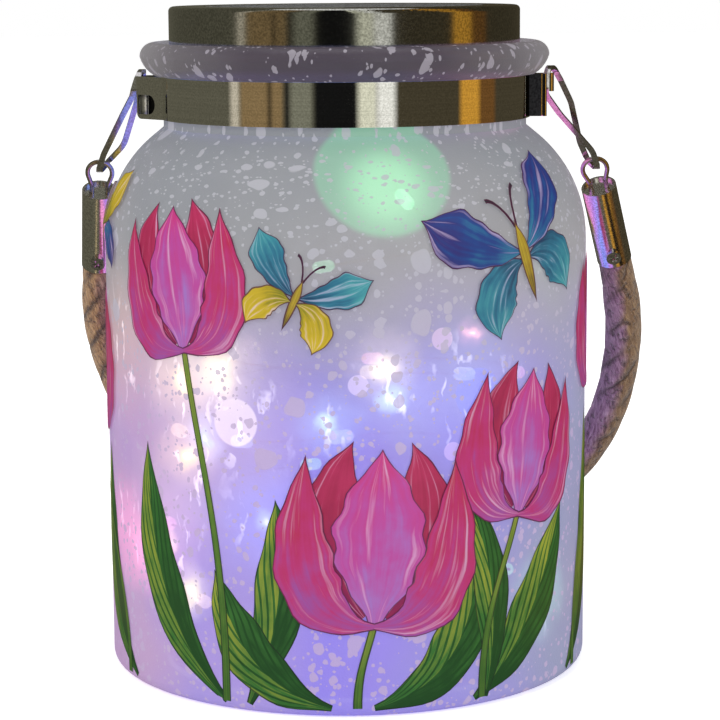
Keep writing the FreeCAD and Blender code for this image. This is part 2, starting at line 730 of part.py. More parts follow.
# Battery module: a cup fixed under the insert, closed by a screwed cover with the cell's cradle on it
module_height = "(insert_bottom - module_bottom)"
post_height = "(insert_bottom - cover_top)"
cup = rod("module_cup", "module_radius", module_height, z="module_bottom")
hollow = rod("module_hollow", "module_inner", module_height, z="module_bottom")
posts = []
shank_holes = []
shank_hole = "cover_shank_radius + cover_screw_play"
for i, side in enumerate((-1, 1)):
    place = f"{side} * post_place"
    posts.append(rod(f"module_post_{i}", "post_radius", post_height, y=place, z="cover_top"))
    shank_holes.append(rod(f"module_post_hole_{i}", shank_hole, "cover_screw_length + seat_gap", y=place,
                           z="cover_top"))
shell = cut("module_shell", cup, [hollow])
nodes.append(cut("module_housing", joined("module_with_posts", [shell] + posts), shank_holes))

cover_r = "(module_inner - cover_play)"
cradle_height = "(cell_height - cover_top)"
cover_solids = [rod("cover_disc", cover_r, "cover_thickness", z="module_bottom")]
cover_cuts = [rod("cradle_round", "cell_radius + cradle_play", "4 * cradle_place", x="-2 * cradle_place",
                  z="cell_height", way="x")]
for i, side in enumerate((-1, 1)):
    cover_solids.append(block(f"cradle_rib_{i}", "cradle_rib", "cradle_width", cradle_height,
                              x=f"{side} * cradle_place", z="cover_top"))
    place = f"{side} * post_place"
    cover_cuts.append(rod(f"cover_hole_{i}", shank_hole, "cover_thickness", y=place, z="module_bottom"))
    cover_cuts.append(rod(f"cover_sink_{i}", "cover_head_radius + cover_screw_play", "cover_head_height",
                          y=place, z="module_bottom"))
slot_length = "(slider_length + slider_travel + 2 * slider_play)"
slot_width = "(slider_width + 2 * slider_play)"
cover_cuts.append(block("cover_switch_slot", slot_length, slot_width, "cover_thickness", y="switch_place",
                        z="module_bottom"))
cover_cuts.append(rod("cover_grommet_hole", "grommet_stem_radius + grommet_play", "cover_thickness",
                      x="grommet_x", y="grommet_y", z="module_bottom"))
nodes.append(cut("module_cover", joined("cover_with_cradle", cover_solids), cover_cuts))

cover_screws = []
for i, side in enumerate((-1, 1)):
    place = f"{side} * post_place"
    head = rod(f"cover_head_{i}", "cover_head_radius", "cover_head_height", y=place, z="module_bottom")
    shank_length = "cover_screw_length + cover_thickness - cover_head_height"
    shank = rod(f"cover_shank_{i}", "cover_shank_radius", shank_length, y=place,
                z="module_bottom + cover_head_height")
    cover_screws.append(joined(f"cover_screw_{i}", [head, shank]))
nodes.append(group("cover_screws", cover_screws))

# Cell, contact leaves, circuit board and its parts
cell = rod("cell_can", "cell_radius", "cell_length", x="-cell_length / 2", z="cell_height", way="x")
nub = rod("cell_plus", "cell_nub_radius", "cell_nub", x="cell_length / 2", z="cell_height", way="x")
nodes.append(joined("battery_cell", [cell, nub]))
leaf_z = "cell_height - contact_height / 2"
nodes.append(group("battery_contacts", [
    block("minus_leaf", "contact_leaf", "contact_width", "contact_height",
          x="-cell_length / 2 - contact_gap - contact_leaf / 2", z=leaf_z),
    block("plus_leaf", "contact_leaf", "contact_width", "contact_height", x="cell_end - contact_leaf / 2",
          z=leaf_z),
]))
nodes.append(block("circuit_board", "board_length", "board_width", "board_thickness", z="board_bottom"))
nodes.append(group("board_components", [
    block("driver_chip", "chip_length", "chip_width", "chip_height", z="board_bottom - chip_height"),
    rod("driver_coil", "coil_radius", "coil_height", x="part_spacing", z="board_bottom - coil_height"),
]))

# Slide switch on the cover, with its slider reaching out through the cover's slot
well = "(switch_height / 2)"
nodes.append(cut("switch_body",
                 block("switch_case", "switch_length", "switch_width", "switch_height", y="switch_place",
                       z="cover_top"),
                 [block("switch_well", slot_length, slot_width, well, y="switch_place", z="cover_top")]))
slider_bottom = "(module_bottom - slider_reach)"
nodes.append(block("switch_slider", "slider_length", "slider_width",
                   f"cover_top + {well} - slider_play - {slider_bottom}", x="-slider_travel / 2",
                   y="switch_place", z=slider_bottom))

# Grommet that lets the light wire out of the cover
grommet_flange = rod("grommet_lip", "grommet_flange_radius", "grommet_flange", x="grommet_x", y="grommet_y",
                     z="module_bottom - grommet_flange")
grommet_stem = rod("grommet_neck", "grommet_stem_radius", "grommet_stem", x="grommet_x", y="grommet_y",
                   z="module_bottom")
nodes.append(joined("wire_grommet", [grommet_flange, grommet_stem]))

# Fairy lights: one thin wire in loose loops that widen and sink from the grommet to the jar's base, with
# its drops of clear resin at the middles of runs. The route is drawn for an inner radius and a module
# height that it is scaled from.
LIGHT_RADIUS, LIGHT_HEIGHT = 56.6, 131.2
LIGHT_ROUTE = [
    (11, -9, 121), (18, -14, 113), (33, -2, 106), (32, 22, 101), (8, 36, 97), (-20, 32, 93),
    (-40, 10, 89), (-42, -16, 84.5), (-30, -37, 81), (-6, -46, 80), (18, -43, 79), (38, -28, 76),
    (46, -4, 73), (40, 22, 71), (20, 41, 69.5), (-6, 46, 68), (-30, 36, 66), (-46, 14, 64),
    (-46, -12, 62), (-36, -33, 61.5), (-14, -46, 63), (11, -47, 66), (33, -36, 62), (47, -14, 54),
    (46, 13, 47), (30, 36, 43), (4, 47, 40.5), (-24, 41, 38.5), (-44, 20, 37), (-48, -6, 36.5),
    (-41, -27, 38), (-22, -42, 41), (4, -45, 38), (28, -36, 31), (42, -18, 25), (38, 4, 20),
    (18, 18, 15.5), (-6, 14, 13), (-22, -2, 13.5), (-34, -20, 17), (-37, -31, 22),
]
# Runs that carry a drop, by the number of the run's first point in the route, in the string's four
# colours
LED_RUNS = {
    "warm_leds": (8, 10, 19, 40),
    "blue_leds": (11, 20, 21, 32),
    "green_leds": (1, 35, 5, 27),
    "pink_leds": (12, 30, 24, 15),
}
light_route = [V(size("grommet_x"), size("grommet_y"), size("module_bottom - grommet_flange"))]
wider, taller = size(inner_r) / LIGHT_RADIUS, size("module_bottom") / LIGHT_HEIGHT
light_route += [V(x * wider, y * wider, z * taller) for x, y, z in LIGHT_ROUTE]
nodes.append(set_shape("fairy_wire", tube("fairy_wire", light_route, size("wire_radius"))))
led_r = size("led_radius")
led_straight = size("led_length - 2 * led_radius")
for colour, runs in LED_RUNS.items():
    drops = []
    for run in runs:
        start, end = light_route[run], light_route[run + 1]
        way = (end - start).normalize()
        foot_point = (start + end) / 2 - way * led_straight / 2
        drop = Part.makeCylinder(led_r, led_straight, foot_point, way)
        for ball_at in (foot_point, foot_point + way * led_straight):
            drop = drop.fuse(Part.makeSphere(led_r, ball_at, way))
        drops.append(drop.removeSplitter())
    nodes.append(set_shape(colour, Part.makeCompound(drops)))

doc.recompute()
for obj in doc.Objects:
    if "Invalid" in obj.State or "Error" in obj.State:
        raise RuntimeError(f"{obj.Label} failed: {obj.State}")
for node in nodes:
    if node.Shape.isNull() or not node.Shape.isValid():
        raise RuntimeError(f"{node.Label} has no valid shape")
for node in nodes:
    node.Shape.exportStep(f"parts/{node.Label}.step")
    print(f"{node.Label}: {len(node.Shape.Solids)} solids, {node.Shape.Volume:.1f} mm3")
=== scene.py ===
import math

import bmesh
import bpy
from mathutils import Matrix, Vector


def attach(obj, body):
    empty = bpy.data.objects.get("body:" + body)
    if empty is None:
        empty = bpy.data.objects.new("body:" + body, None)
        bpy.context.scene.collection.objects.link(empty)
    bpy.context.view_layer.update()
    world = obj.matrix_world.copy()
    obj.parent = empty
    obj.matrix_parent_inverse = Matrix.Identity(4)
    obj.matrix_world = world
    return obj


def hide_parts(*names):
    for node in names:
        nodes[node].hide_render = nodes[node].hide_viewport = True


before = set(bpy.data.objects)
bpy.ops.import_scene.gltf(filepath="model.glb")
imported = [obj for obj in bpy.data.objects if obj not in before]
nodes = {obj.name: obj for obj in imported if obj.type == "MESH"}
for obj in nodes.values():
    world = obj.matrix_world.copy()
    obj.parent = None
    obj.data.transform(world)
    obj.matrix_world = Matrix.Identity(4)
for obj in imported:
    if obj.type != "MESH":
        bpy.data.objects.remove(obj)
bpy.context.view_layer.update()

# Glass jar: blown glass with a thick bead under its mouth and a rounded heel, frosted outside and flecked
# with droplets. The frost is grey above and violet towards the floor. The light string inside shines through
# it a little, and its glow is painted into the frost, with a bright core where a light is near.


def add(material, kind, inputs=None, **settings):
    """A node of a material, with its settings, and its inputs given as values or as other nodes' outputs."""
    made = material.node_tree.nodes.new(kind)
    for key, value in settings.items():
        setattr(made, key, value)
    for key, value in (inputs or {}).items():
        if isinstance(value, bpy.types.NodeSocket):
            material.node_tree.links.new(value, made.inputs[key])
        else:
            made.inputs[key].default_value = value
    return made


def new_finish(name, **values):
    """A material with its main shader's plain values set, and that shader."""
    material = bpy.data.materials.new(name)
    material.use_nodes = True
    shader = material.node_tree.nodes["Principled BSDF"]
    for key, value in values.items():
        shader.inputs[key.replace("_", " ")].default_value = value
    return material, shader


def feed(material, output, target):
    material.node_tree.links.new(output, target)


def ramp(material, factor, stops):
    """A colour ramp through (place, colour) stops."""
    made = add(material, "ShaderNodeValToRGB", {"Fac": factor})
    elements = made.color_ramp.elements
    elements[0].position, elements[1].position = stops[0][0], stops[-1][0]
    elements[0].color, elements[-1].color = (*stops[0][1], 1), (*stops[-1][1], 1)
    for spot, colour in stops[1:-1]:
        elements.new(spot).color = (*colour, 1)
    return made.outputs["Color"]


def math_node(material, operation, *values):
    made = add(material, "ShaderNodeMath", dict(enumerate(values)), operation=operation)
    return made.outputs[0]


def mix(material, factor, a, b, blend="MIX"):
    """Colour a turned into colour b by the factor."""
    made = add(material, "ShaderNodeMix", {0: factor, 6: a, 7: b}, data_type="RGBA", blend_type=blend)
    return made.outputs[2]


def place_on(material):
    return add(material, "ShaderNodeTexCoord").outputs["Object"]


def split(material, vector):
    return add(material, "ShaderNodeSeparateXYZ", {"Vector": vector}).outputs


def noise(material, at, scale, detail=2.0, output="Fac"):
    made = add(material, "ShaderNodeTexNoise", {"Vector": at, "Scale": scale, "Detail": detail})
    return made.outputs[output]


def scaled(material, value, low, high, to_low=0.0, to_high=1.0, easing="LINEAR"):
    """A value's way from low to high, as a value from to_low to to_high that goes past neither."""
    ends = {"Value": value, "From Min": low, "From Max": high, "To Min": to_low, "To Max": to_high}
    return add(material, "ShaderNodeMapRange", ends, interpolation_type=easing).outputs[0]


def move(material, operation, *values):
    return add(material, "ShaderNodeVectorMath", dict(enumerate(values)), operation=operation).outputs[0]


def colour_by(material, shader, factor, stops):
    feed(material, ramp(material, factor, stops), shader.inputs["Base Color"])


def wear(obj, *materials):
    obj.data.materials.clear()
    for material in materials:
        obj.data.materials.append(material)


def add_object(name, data):
    obj = bpy.data.objects.new(name, data)
    bpy.context.collection.objects.link(obj)
    return obj


def shape_from(name, bm):
    """A new object with the shape built in a BMesh, its faces turned outwards."""
    bmesh.ops.recalc_face_normals(bm, faces=bm.faces)
    mesh = bpy.data.meshes.new(name)
    bm.to_mesh(mesh)
    bm.free()
    return add_object(name, mesh)


jar = nodes["jar_glass"]
jar_radius = 60.0  # mm
frost, shader = new_finish("frosted_glass", Roughness=0.36, IOR=1.45, Alpha=0.9)
place = place_on(frost)
parts = split(frost, place)
height = scaled(frost, parts["Z"], 0.0, 0.15)
cloud = noise(frost, place, 17.0)
across = math_node(frost, "MULTIPLY_ADD", parts["X"], 8.0, math_node(frost, "MULTIPLY_ADD", cloud, 0.7, 0.15))
low_tint = ramp(frost, across, [
    (0.05, (0.6, 0.4, 0.68)), (0.25, (0.45, 0.35, 0.84)), (0.42, (0.34, 0.28, 0.95)),
    (0.6, (0.36, 0.29, 0.92)), (0.8, (0.38, 0.35, 0.76)), (0.97, (0.37, 0.39, 0.6)),
])
rise = scaled(frost, math_node(frost, "MULTIPLY_ADD", cloud, 0.4, height), 0.78, 1.1)
high_tint = mix(frost, rise, (0.47, 0.455, 0.46, 1), (0.3, 0.32, 0.345, 1))
climb = math_node(frost, "ADD", height, math_node(frost, "MULTIPLY_ADD", cloud, 0.3, -0.15))
climb = scaled(frost, climb, 0.38, 0.72, easing="SMOOTHSTEP")
tint = mix(frost, climb, low_tint, high_tint)
bead_mask = scaled(frost, parts["Z"], 0.1465, 0.1475)
# the bead is dark mauve, and painted light makes it paler towards its two ends
sideways = math_node(frost, "ABSOLUTE", parts["X"])
bead_tone_with_painted_ends = ramp(frost, math_node(frost, "MULTIPLY", sideways, 20.0), [
    (0.0, (0.075, 0.06, 0.08)), (0.45, (0.085, 0.07, 0.09)), (0.8, (0.16, 0.145, 0.16)),
    (1.0, (0.28, 0.265, 0.28)),
])
tint = mix(frost, bead_mask, tint, bead_tone_with_painted_ends)

# droplets of paler frost, a few large and many small, drawn out down the shoulder
stretch = scaled(frost, parts["Z"], 0.1, 0.13, 1.0, 0.45)
squeezed = add(frost, "ShaderNodeCombineXYZ", {
    "X": parts["X"], "Y": parts["Y"], "Z": math_node(frost, "MULTIPLY", parts["Z"], stretch)}).outputs[0]
flecks = None
droplets = (
    (950.0, 0.42, 0.3), (560.0, 0.45, 0.56), (260.0, 0.42, 0.52), (110.0, 0.37, 0.33), (52.0, 0.3, 0.17),
)
for scale, largest, share in droplets:
    ripple = noise(frost, squeezed, scale * 1.3, 1.0, "Color")
    bent = move(frost, "MULTIPLY_ADD", ripple, (0.5 / scale,) * 3, squeezed)
    cells = add(frost, "ShaderNodeTexVoronoi", {"Vector": bent, "Scale": scale})
    chance = add(frost, "ShaderNodeSeparateColor", {"Color": cells.outputs["Color"]}).outputs
    reach = math_node(frost, "MULTIPLY", chance["Green"], largest)
    spot = scaled(frost, math_node(frost, "SUBTRACT", reach, cells.outputs["Distance"]), 0.0, 0.03)
    spot = math_node(frost, "MULTIPLY", spot, math_node(frost, "LESS_THAN", chance["Red"], share))
    flecks = spot if flecks is None else math_node(frost, "MAXIMUM", flecks, spot)
flecks = math_node(frost, "MULTIPLY", flecks, 0.8)
fleck_colour = mix(frost, climb, (0.56, 0.44, 0.66, 1), (0.5, 0.5, 0.55, 1))
fleck_colour = mix(frost, bead_mask, fleck_colour, (0.38, 0.35, 0.4, 1))

# where the lights come through: turn round the jar from the front, height in mm, colour, core, spread and
# strength
glows = [
    (-40.6, 78, (1.0, 0.74, 0.38), 1.2, 15, 0.3),
    (-29.5, 81.5, (1.0, 0.8, 0.5), 2.2, 15, 0.34),
    (-39.3, 60, (1.0, 0.72, 0.3), 1.4, 12, 0.3),
    (-24, 69, (0.9, 0.76, 0.7), 0.0, 24, 0.12),
    (-38, 74, (1.0, 0.84, 0.5), 0.0, 24, 0.2),
    (-40, 54, (1.0, 0.78, 0.5), 0.0, 20, 0.15),
    (8.4, 83.6, (1.0, 0.82, 0.58), 1.4, 12, 0.24),
    (9.6, 75.5, (0.4, 0.62, 1.0), 1.5, 16, 0.15),
    (-33.4, 65, (0.62, 0.72, 1.0), 0.8, 9, 0.3),
    (-18.3, 47, (0.3, 0.42, 1.0), 1.2, 20, 0.3),
    (-4.3, 70, (0.5, 0.82, 1.0), 1.1, 12, 0.24),
    (-52, 34, (1.0, 0.28, 0.42), 1.0, 15, 0.42),
    (-64, 38, (1.0, 0.2, 0.4), 0.0, 20, 0.4),
    (-64, 82, (1.0, 0.35, 0.0), 0.0, 30, 0.18),
    (-44.4, 39, (1.0, 0.55, 0.66), 1.1, 20, 0.2),
    (29.1, 90, (1.0, 0.4, 0.5), 0.7, 5, 0.3),
    (-38.8, 27.6, (1.0, 0.86, 0.45), 1.2, 9, 0.4),
    (50.0, 24, (0.4, 1.0, 0.6), 1.2, 16, 0.3),
    (28.5, 75.5, (0.2, 0.28, 1.0), 0.0, 26, 0.3),
    (120, 95, (0.5, 1.0, 0.6), 1.6, 18, 0.3),
    (165, 60, (0.5, 0.62, 1.0), 1.6, 20, 0.3),
    (205, 70, (1.0, 0.45, 0.7), 1.6, 18, 0.3),
    (240, 40, (1.0, 0.75, 0.45), 1.6, 18, 0.3),
    (110, 45, (1.0, 0.45, 0.7), 1.6, 18, 0.3),
]
# painted glow: the whole frost gives out part of its tint, and each light adds its colour around its spot
glow_sum = mix(frost, 0.42, (0, 0, 0, 1), tint)
near_light = 0.0
wobble_reach = 0.007
wobble = noise(frost, place, 120.0, 3.0, "Color")
waved = move(frost, "MULTIPLY_ADD", wobble, (wobble_reach,) * 3, place)
waved = move(frost, "SUBTRACT", waved, (wobble_reach / 2,) * 3)


def spot_on_jar(turn, up):
    angle = math.radians(turn)
    return (jar_radius / 1000 * math.sin(angle), -jar_radius / 1000 * math.cos(angle), up / 1000)


def away_from(spot, at):
    return add(frost, "ShaderNodeVectorMath", {0: at, 1: spot}, operation="DISTANCE").outputs["Value"]


def fade(away, violet_lit_jute, outer):
    """1 nearer than the inner distance and 0 beyond the outer one, in mm."""
    return scaled(frost, away, outer / 1000, violet_lit_jute / 1000, easing="SMOOTHERSTEP")


for turn, up, colour, core, spread, strength in glows:
    away = away_from(spot_on_jar(turn, up), waved)
    glow_sum = mix(frost, fade(away, 0, spread), glow_sum, (*(c * strength for c in colour), 1), "ADD")
    near_light = math_node(frost, "MAXIMUM", near_light, fade(away, 0, spread * 0.8))
    if core:
        halo = tuple(0.2 + c * 0.75 for c in colour)
        glow_sum = mix(frost, fade(away, core * 0.7, core * 3.6), glow_sum, (*halo, 1))
        glow_sum = mix(frost, fade(away, core * 0.2, core * 1.6), glow_sum, (0.4, 0.4, 0.4, 1), "ADD")

# rounder pools of painted light with plain edges: turn, height, radius, colour and how much of it shows
light_pools = [
    (-25.6, 69.5, 5.6, (0.86, 0.74, 0.74), 0.75),
    (30.5, 75.5, 6.0, (0.16, 0.22, 0.86), 0.5),
    (21.5, 89.0, 2.6, (0.72, 0.5, 0.66), 0.55),
    (24.0, 62.5, 2.2, (0.66, 0.48, 0.8), 0.5),
    (2.5, 79.0, 2.4, (0.8, 0.66, 0.85), 0.5),
    (-15.0, 6.5, 3.2, (0.6, 0.56, 0.95), 0.5),
    (-24.0, 20.0, 2.6, (0.8, 0.6, 0.86), 0.4),
]
for turn, up, radius, colour, share in light_pools:
    away = away_from(spot_on_jar(turn, up), place)
    light_pool = math_node(frost, "MULTIPLY", fade(away, radius * 0.94, radius * 1.06), share)
    glow_sum = mix(frost, light_pool, glow_sum, (*colour, 1))

# painted glints beside the lights: short upright streaks of light, as where runs of melted frost catch them
glint_at = move(frost, "MULTIPLY", waved, (1.0, 1.0, 0.3))
painted_glints = noise(frost, glint_at, 380.0)
painted_glints = scaled(frost, painted_glints, 0.6, 0.7)
painted_glints = math_node(frost, "MULTIPLY", painted_glints, near_light)
glow_sum = mix(frost, painted_glints, glow_sum, (0.6, 0.58, 0.6, 1), "ADD")

# the green light close under the lid is painted on the shoulder as a disc of glow, paler in the middle
green_disc, green_core = (0.0087, -0.0523, 0.1275), (0.0094, -0.0537, 0.1235)
away = away_from(green_disc, place)
glow_sum = mix(frost, fade(away, 14.8, 17.0), glow_sum, (0.0, 0.21, 0.06, 1), "ADD")
away = away_from(green_core, place)
glow_sum = mix(frost, fade(away, 2, 15), glow_sum, (0.14, 0.36, 0.17, 1), "ADD")
fleck_glow = mix(frost, 0.5, (0, 0, 0, 1), fleck_colour)
glow_sum = mix(frost, flecks, glow_sum, fleck_glow)

# painted reflection colours: shiny metal that mirrors the lit jar sees blue at the left shoulder, and violet
# and pink elsewhere
hue = math_node(frost, "MULTIPLY_ADD", parts["X"], 1.5, cloud)
low, left = scaled(frost, parts["Z"], 0.12, 0.105), scaled(frost, parts["X"], 0.0, -0.03)
hue = math_node(frost, "MULTIPLY_ADD", math_node(frost, "MULTIPLY", low, left), 0.2, hue)
painted_mirror_tone = ramp(frost, hue, [(0.42, (0.1, 0.3, 1.3)), (0.52, (0.5, 0.16, 1.2)), (0.62, (1.2, 0.25, 0.8))])
seen = add(frost, "ShaderNodeLightPath").outputs["Is Glossy Ray"]
mirrored = math_node(frost, "MULTIPLY", seen, math_node(frost, "MULTIPLY_ADD", bead_mask, -0.65, 0.7))
glow_sum = mix(frost, mirrored, glow_sum, painted_mirror_tone)
body_colour = mix(frost, flecks, tint, fleck_colour)
feed(frost, mix(frost, 0.5, (0, 0, 0, 1), body_colour), shader.inputs["Base Color"])
feed(frost, glow_sum, shader.inputs["Emission Color"])
shader.inputs["Emission Strength"].default_value = 1.0
grain = noise(frost, place, 2200.0, 1.0)
relief = math_node(frost, "MULTIPLY_ADD", flecks, 1.5, grain)
bump = add(frost, "ShaderNodeBump", {"Strength": 0.2, "Distance": 0.0003, "Height": relief})
feed(frost, bump.outputs["Normal"], shader.inputs["Normal"])

clear, shader = new_finish("clear_inner_glass", Roughness=0.08, IOR=1.1, Alpha=0.06)
place = place_on(clear)
waves = noise(clear, place, 30.0)
colour_by(clear, shader, waves, [(0.3, (0.8, 0.8, 0.86)), (0.7, (0.9, 0.9, 0.93))])
wear(jar, frost, clear)
for face in jar.data.polygons:
    out = Vector((face.center.x, face.center.y, 0)).normalized()
    inward = face.normal.dot(out) < -0.05 or (face.normal.z > 0.5 and face.center.z < 0.012)
    face.material_index = 1 if inward else 0

# Painted design: thin glass paints with fine ink edges on the outside of the jar. Tulips and long leaves
# rise from the floor all round it, with butterflies over them. Each shape is a strip along a curve, laid
# close to the glass.
side_height, shoulder_radius, heel_radius = 106.8, 33.0, 3.0
paint_lift, paint_step, paint_foot, root_height = 0.06, 0.009, 0.6, 2.5
painted = {}


def on_jar(around, up, lift):
    """The place on the jar's outside at a distance round it from the front and up its side, both in mm."""
    if up > side_height:
        bend, centre, turn = shoulder_radius, side_height, (up - side_height) / shoulder_radius
    else:
        bend, centre, turn = heel_radius, heel_radius, min(up - heel_radius, 0.0) / heel_radius
    radius = jar_radius - bend + (bend + lift) * math.cos(turn)
    height = max(up, centre) if turn == 0 else centre + (bend + lift) * math.sin(turn)
    angle = around / jar_radius
    return (radius * math.sin(angle) / 1000, -radius * math.cos(angle) / 1000, height / 1000)


def brush(kind, corners, widths, ripple=0.0, ripples=5):
    """Keeps one painted strip of a kind: a curve led by four corners, with half widths along it."""
    painted.setdefault(kind, []).append((corners, widths, ripple, ripples))


def turned(points, spot, size, lean):
    """Points of a motif one unit tall, at its size, leaning to the right by an angle, moved to its spot."""
    c, n = math.cos(math.radians(lean)), math.sin(math.radians(lean))
    return [(spot[0] + size * (x * c + y * n), spot[1] + size * (y * c - x * n)) for x, y in points]


def tulip(spot, size, lean, root):
    stem = [(root, root_height), (root, spot[1] * 0.5), (spot[0] - lean * 0.5, spot[1] * 0.7), spot]
    brush("stem_paint", stem, [1.1, 0.9, 0.9])
    back_curve = [(0.06, 0.03), (0.32, 0.3), (0.3, 0.75), (0.16, 1.02)]
    back_widths = [0.02, 0.13, 0.17, 0.12, 0]
    front_curve = [(0.0, 0.0), (0.02, 0.3), (0.0, 0.7), (0.0, 0.98)]
    front_widths = [0.04, 0.2, 0.26, 0.17, 0]
    side_curve = [(0.0, -0.02), (0.5, -0.02), (0.44, 0.55), (0.42, 0.93)]
    side_widths = [0.02, 0.15, 0.17, 0.11, 0]
    for kind, side, curve, widths in (
        ("deep_petal", -1, back_curve, back_widths),
        ("deep_petal", 1, back_curve, back_widths),
        ("pale_petal", 1, front_curve, front_widths),
        ("bright_petal", -1, side_curve, side_widths),
        ("bright_petal", 1, side_curve, side_widths),
    ):
        corners = turned([(side * x, y) for x, y in curve], spot, size, lean)
        brush(kind, corners, [size * w for w in widths], 0.07)


def butterfly(spot, size, lean, fore, hind):
    for side in (-1, 1):
        for kind, curve, widths in (
            (hind, [(0.04, 0.0), (0.3, 0.02), (0.52, -0.2), (0.5, -0.55)], [0.02, 0.14, 0.21, 0.2, 0.0]),
            (fore, [(0.03, 0.08), (0.3, 0.16), (0.6, 0.42), (0.86, 0.72)], [0.02, 0.12, 0.2, 0.24, 0.0]),
            ("ink_paint", [(0.01, 0.3), (0.05, 0.5), (0.14, 0.62), (0.2, 0.62)], [0.012, 0.012, 0.02]),
        ):
            corners = turned([(side * x, y) for x, y in curve], spot, size, lean)
            brush(kind, corners, [size * w for w in widths], 0.05)
    brush("body_paint", turned([(0, -0.42), (0, -0.2), (0, 0.1), (0, 0.36)], spot, size, lean),
          [0, size * 0.04, size * 0.06, size * 0.055, 0])


back = math.pi * jar_radius
for root, bend, tip, width in (
    (-30, (-54, 22), (-55, 62), 6.5), (-24, (-14, 24), (-17, 52), 6.0),
    (-4, (-26, 8), (-33, 34), 6.5), (6, (30, 8), (32, 40), 6.5),
    (31, (50, 16), (62, 46), 7.0), (34, (40, 26), (27, 54), 5.0),
    (66, (84, 22), (82, 66), 6.5), (-62, (-84, 22), (-80, 58), 6.5),
    (104, (100, 30), (112, 60), 6.5), (-100, (-104, 26), (-116, 62), 6.5),
    (back - 8, (back - 30, 20), (back - 30, 56), 7.0),
    (back + 4, (back + 28, 18), (back + 34, 50), 7.0),
):
    corners = [(root, root_height), bend, ((bend[0] + tip[0]) / 2, (bend[1] * 0.4 + tip[1] * 0.6)), tip]
    brush("leaf_paint", corners, [0.8, width * 0.7, width, width * 0.9, width * 0.5, 0], 0.05, 3)
for spot, size, lean, root in (
    ((-41, 86), 34, -8, -30), ((44, 46), 35, 9, 33), ((6, 23), 42, 3, 2),
    ((88, 72), 32, 5, 70), ((-92, 62), 34, -5, -66),
    ((back - 2, 60), 42, 0, back - 2),
):
    tulip(spot, size, lean, root)
for spot, size, lean, fore, hind in (
    ((46, 106), 27, -20, "blue_wing", "teal_wing"), ((-12, 98), 17, 24, "teal_wing", "gold_wing"),
    ((-84, 110), 19, -10, "gold_wing", "blue_wing"), ((134, 104), 24, 15, "blue_wing", "gold_wing"),
    ((-130, 104), 26, -15, "blue_wing", "teal_wing"),
):
    butterfly(spot, size, lean, fore, hind)


def smooth_width(widths, s):
    """Half width at a share of the way along a strip, eased between the widths given at even steps."""
    at = min(s, 0.9999) * (len(widths) - 1)
    i = int(at)
    before, after = widths[max(i - 1, 0)], widths[min(i + 2, len(widths) - 1)]
    a, b, f = widths[i], widths[i + 1], at - i
    bend, twist = 2 * before - 5 * a + 4 * b - after, 3 * (a - b) + after - before
    return max(a + 0.5 * f * (b - before + f * (bend + f * twist)), 0.0)


paint_colours = {
    "stem_paint": ((0.03, 0.1, 0.015), (0.08, 0.17, 0.02), (0.2, 0.24, 0.03)),
    "leaf_paint": ((0.01, 0.06, 0.012), (0.03, 0.14, 0.022), (0.27, 0.3, 0.025)),
    "deep_petal": ((0.2, 0.008, 0.07), (0.3, 0.012, 0.06), (0.4, 0.02, 0.09)),
    "pale_petal": ((0.3, 0.13, 0.42), (0.4, 0.05, 0.27), (0.46, 0.025, 0.16)),
    "bright_petal": ((0.27, 0.06, 0.28), (0.4, 0.022, 0.14), (0.38, 0.012, 0.045)),
    "teal_wing": ((0.01, 0.04, 0.1), (0.02, 0.14, 0.22), (0.05, 0.28, 0.3)),
    "blue_wing": ((0.02, 0.15, 0.26), (0.012, 0.045, 0.2), (0.03, 0.012, 0.12)),
    "gold_wing": ((0.08, 0.12, 0.01), (0.4, 0.29, 0.008), (0.52, 0.37, 0.015)),
    "body_paint": ((0.02, 0.02, 0.02), (0.25, 0.17, 0.015), (0.45, 0.33, 0.02)),
    "ink_paint": ((0.01, 0.012, 0.02), (0.015, 0.015, 0.02), (0.02, 0.02, 0.03)),
}
strip_steps, strip_sides, layer = 26, 16, 0
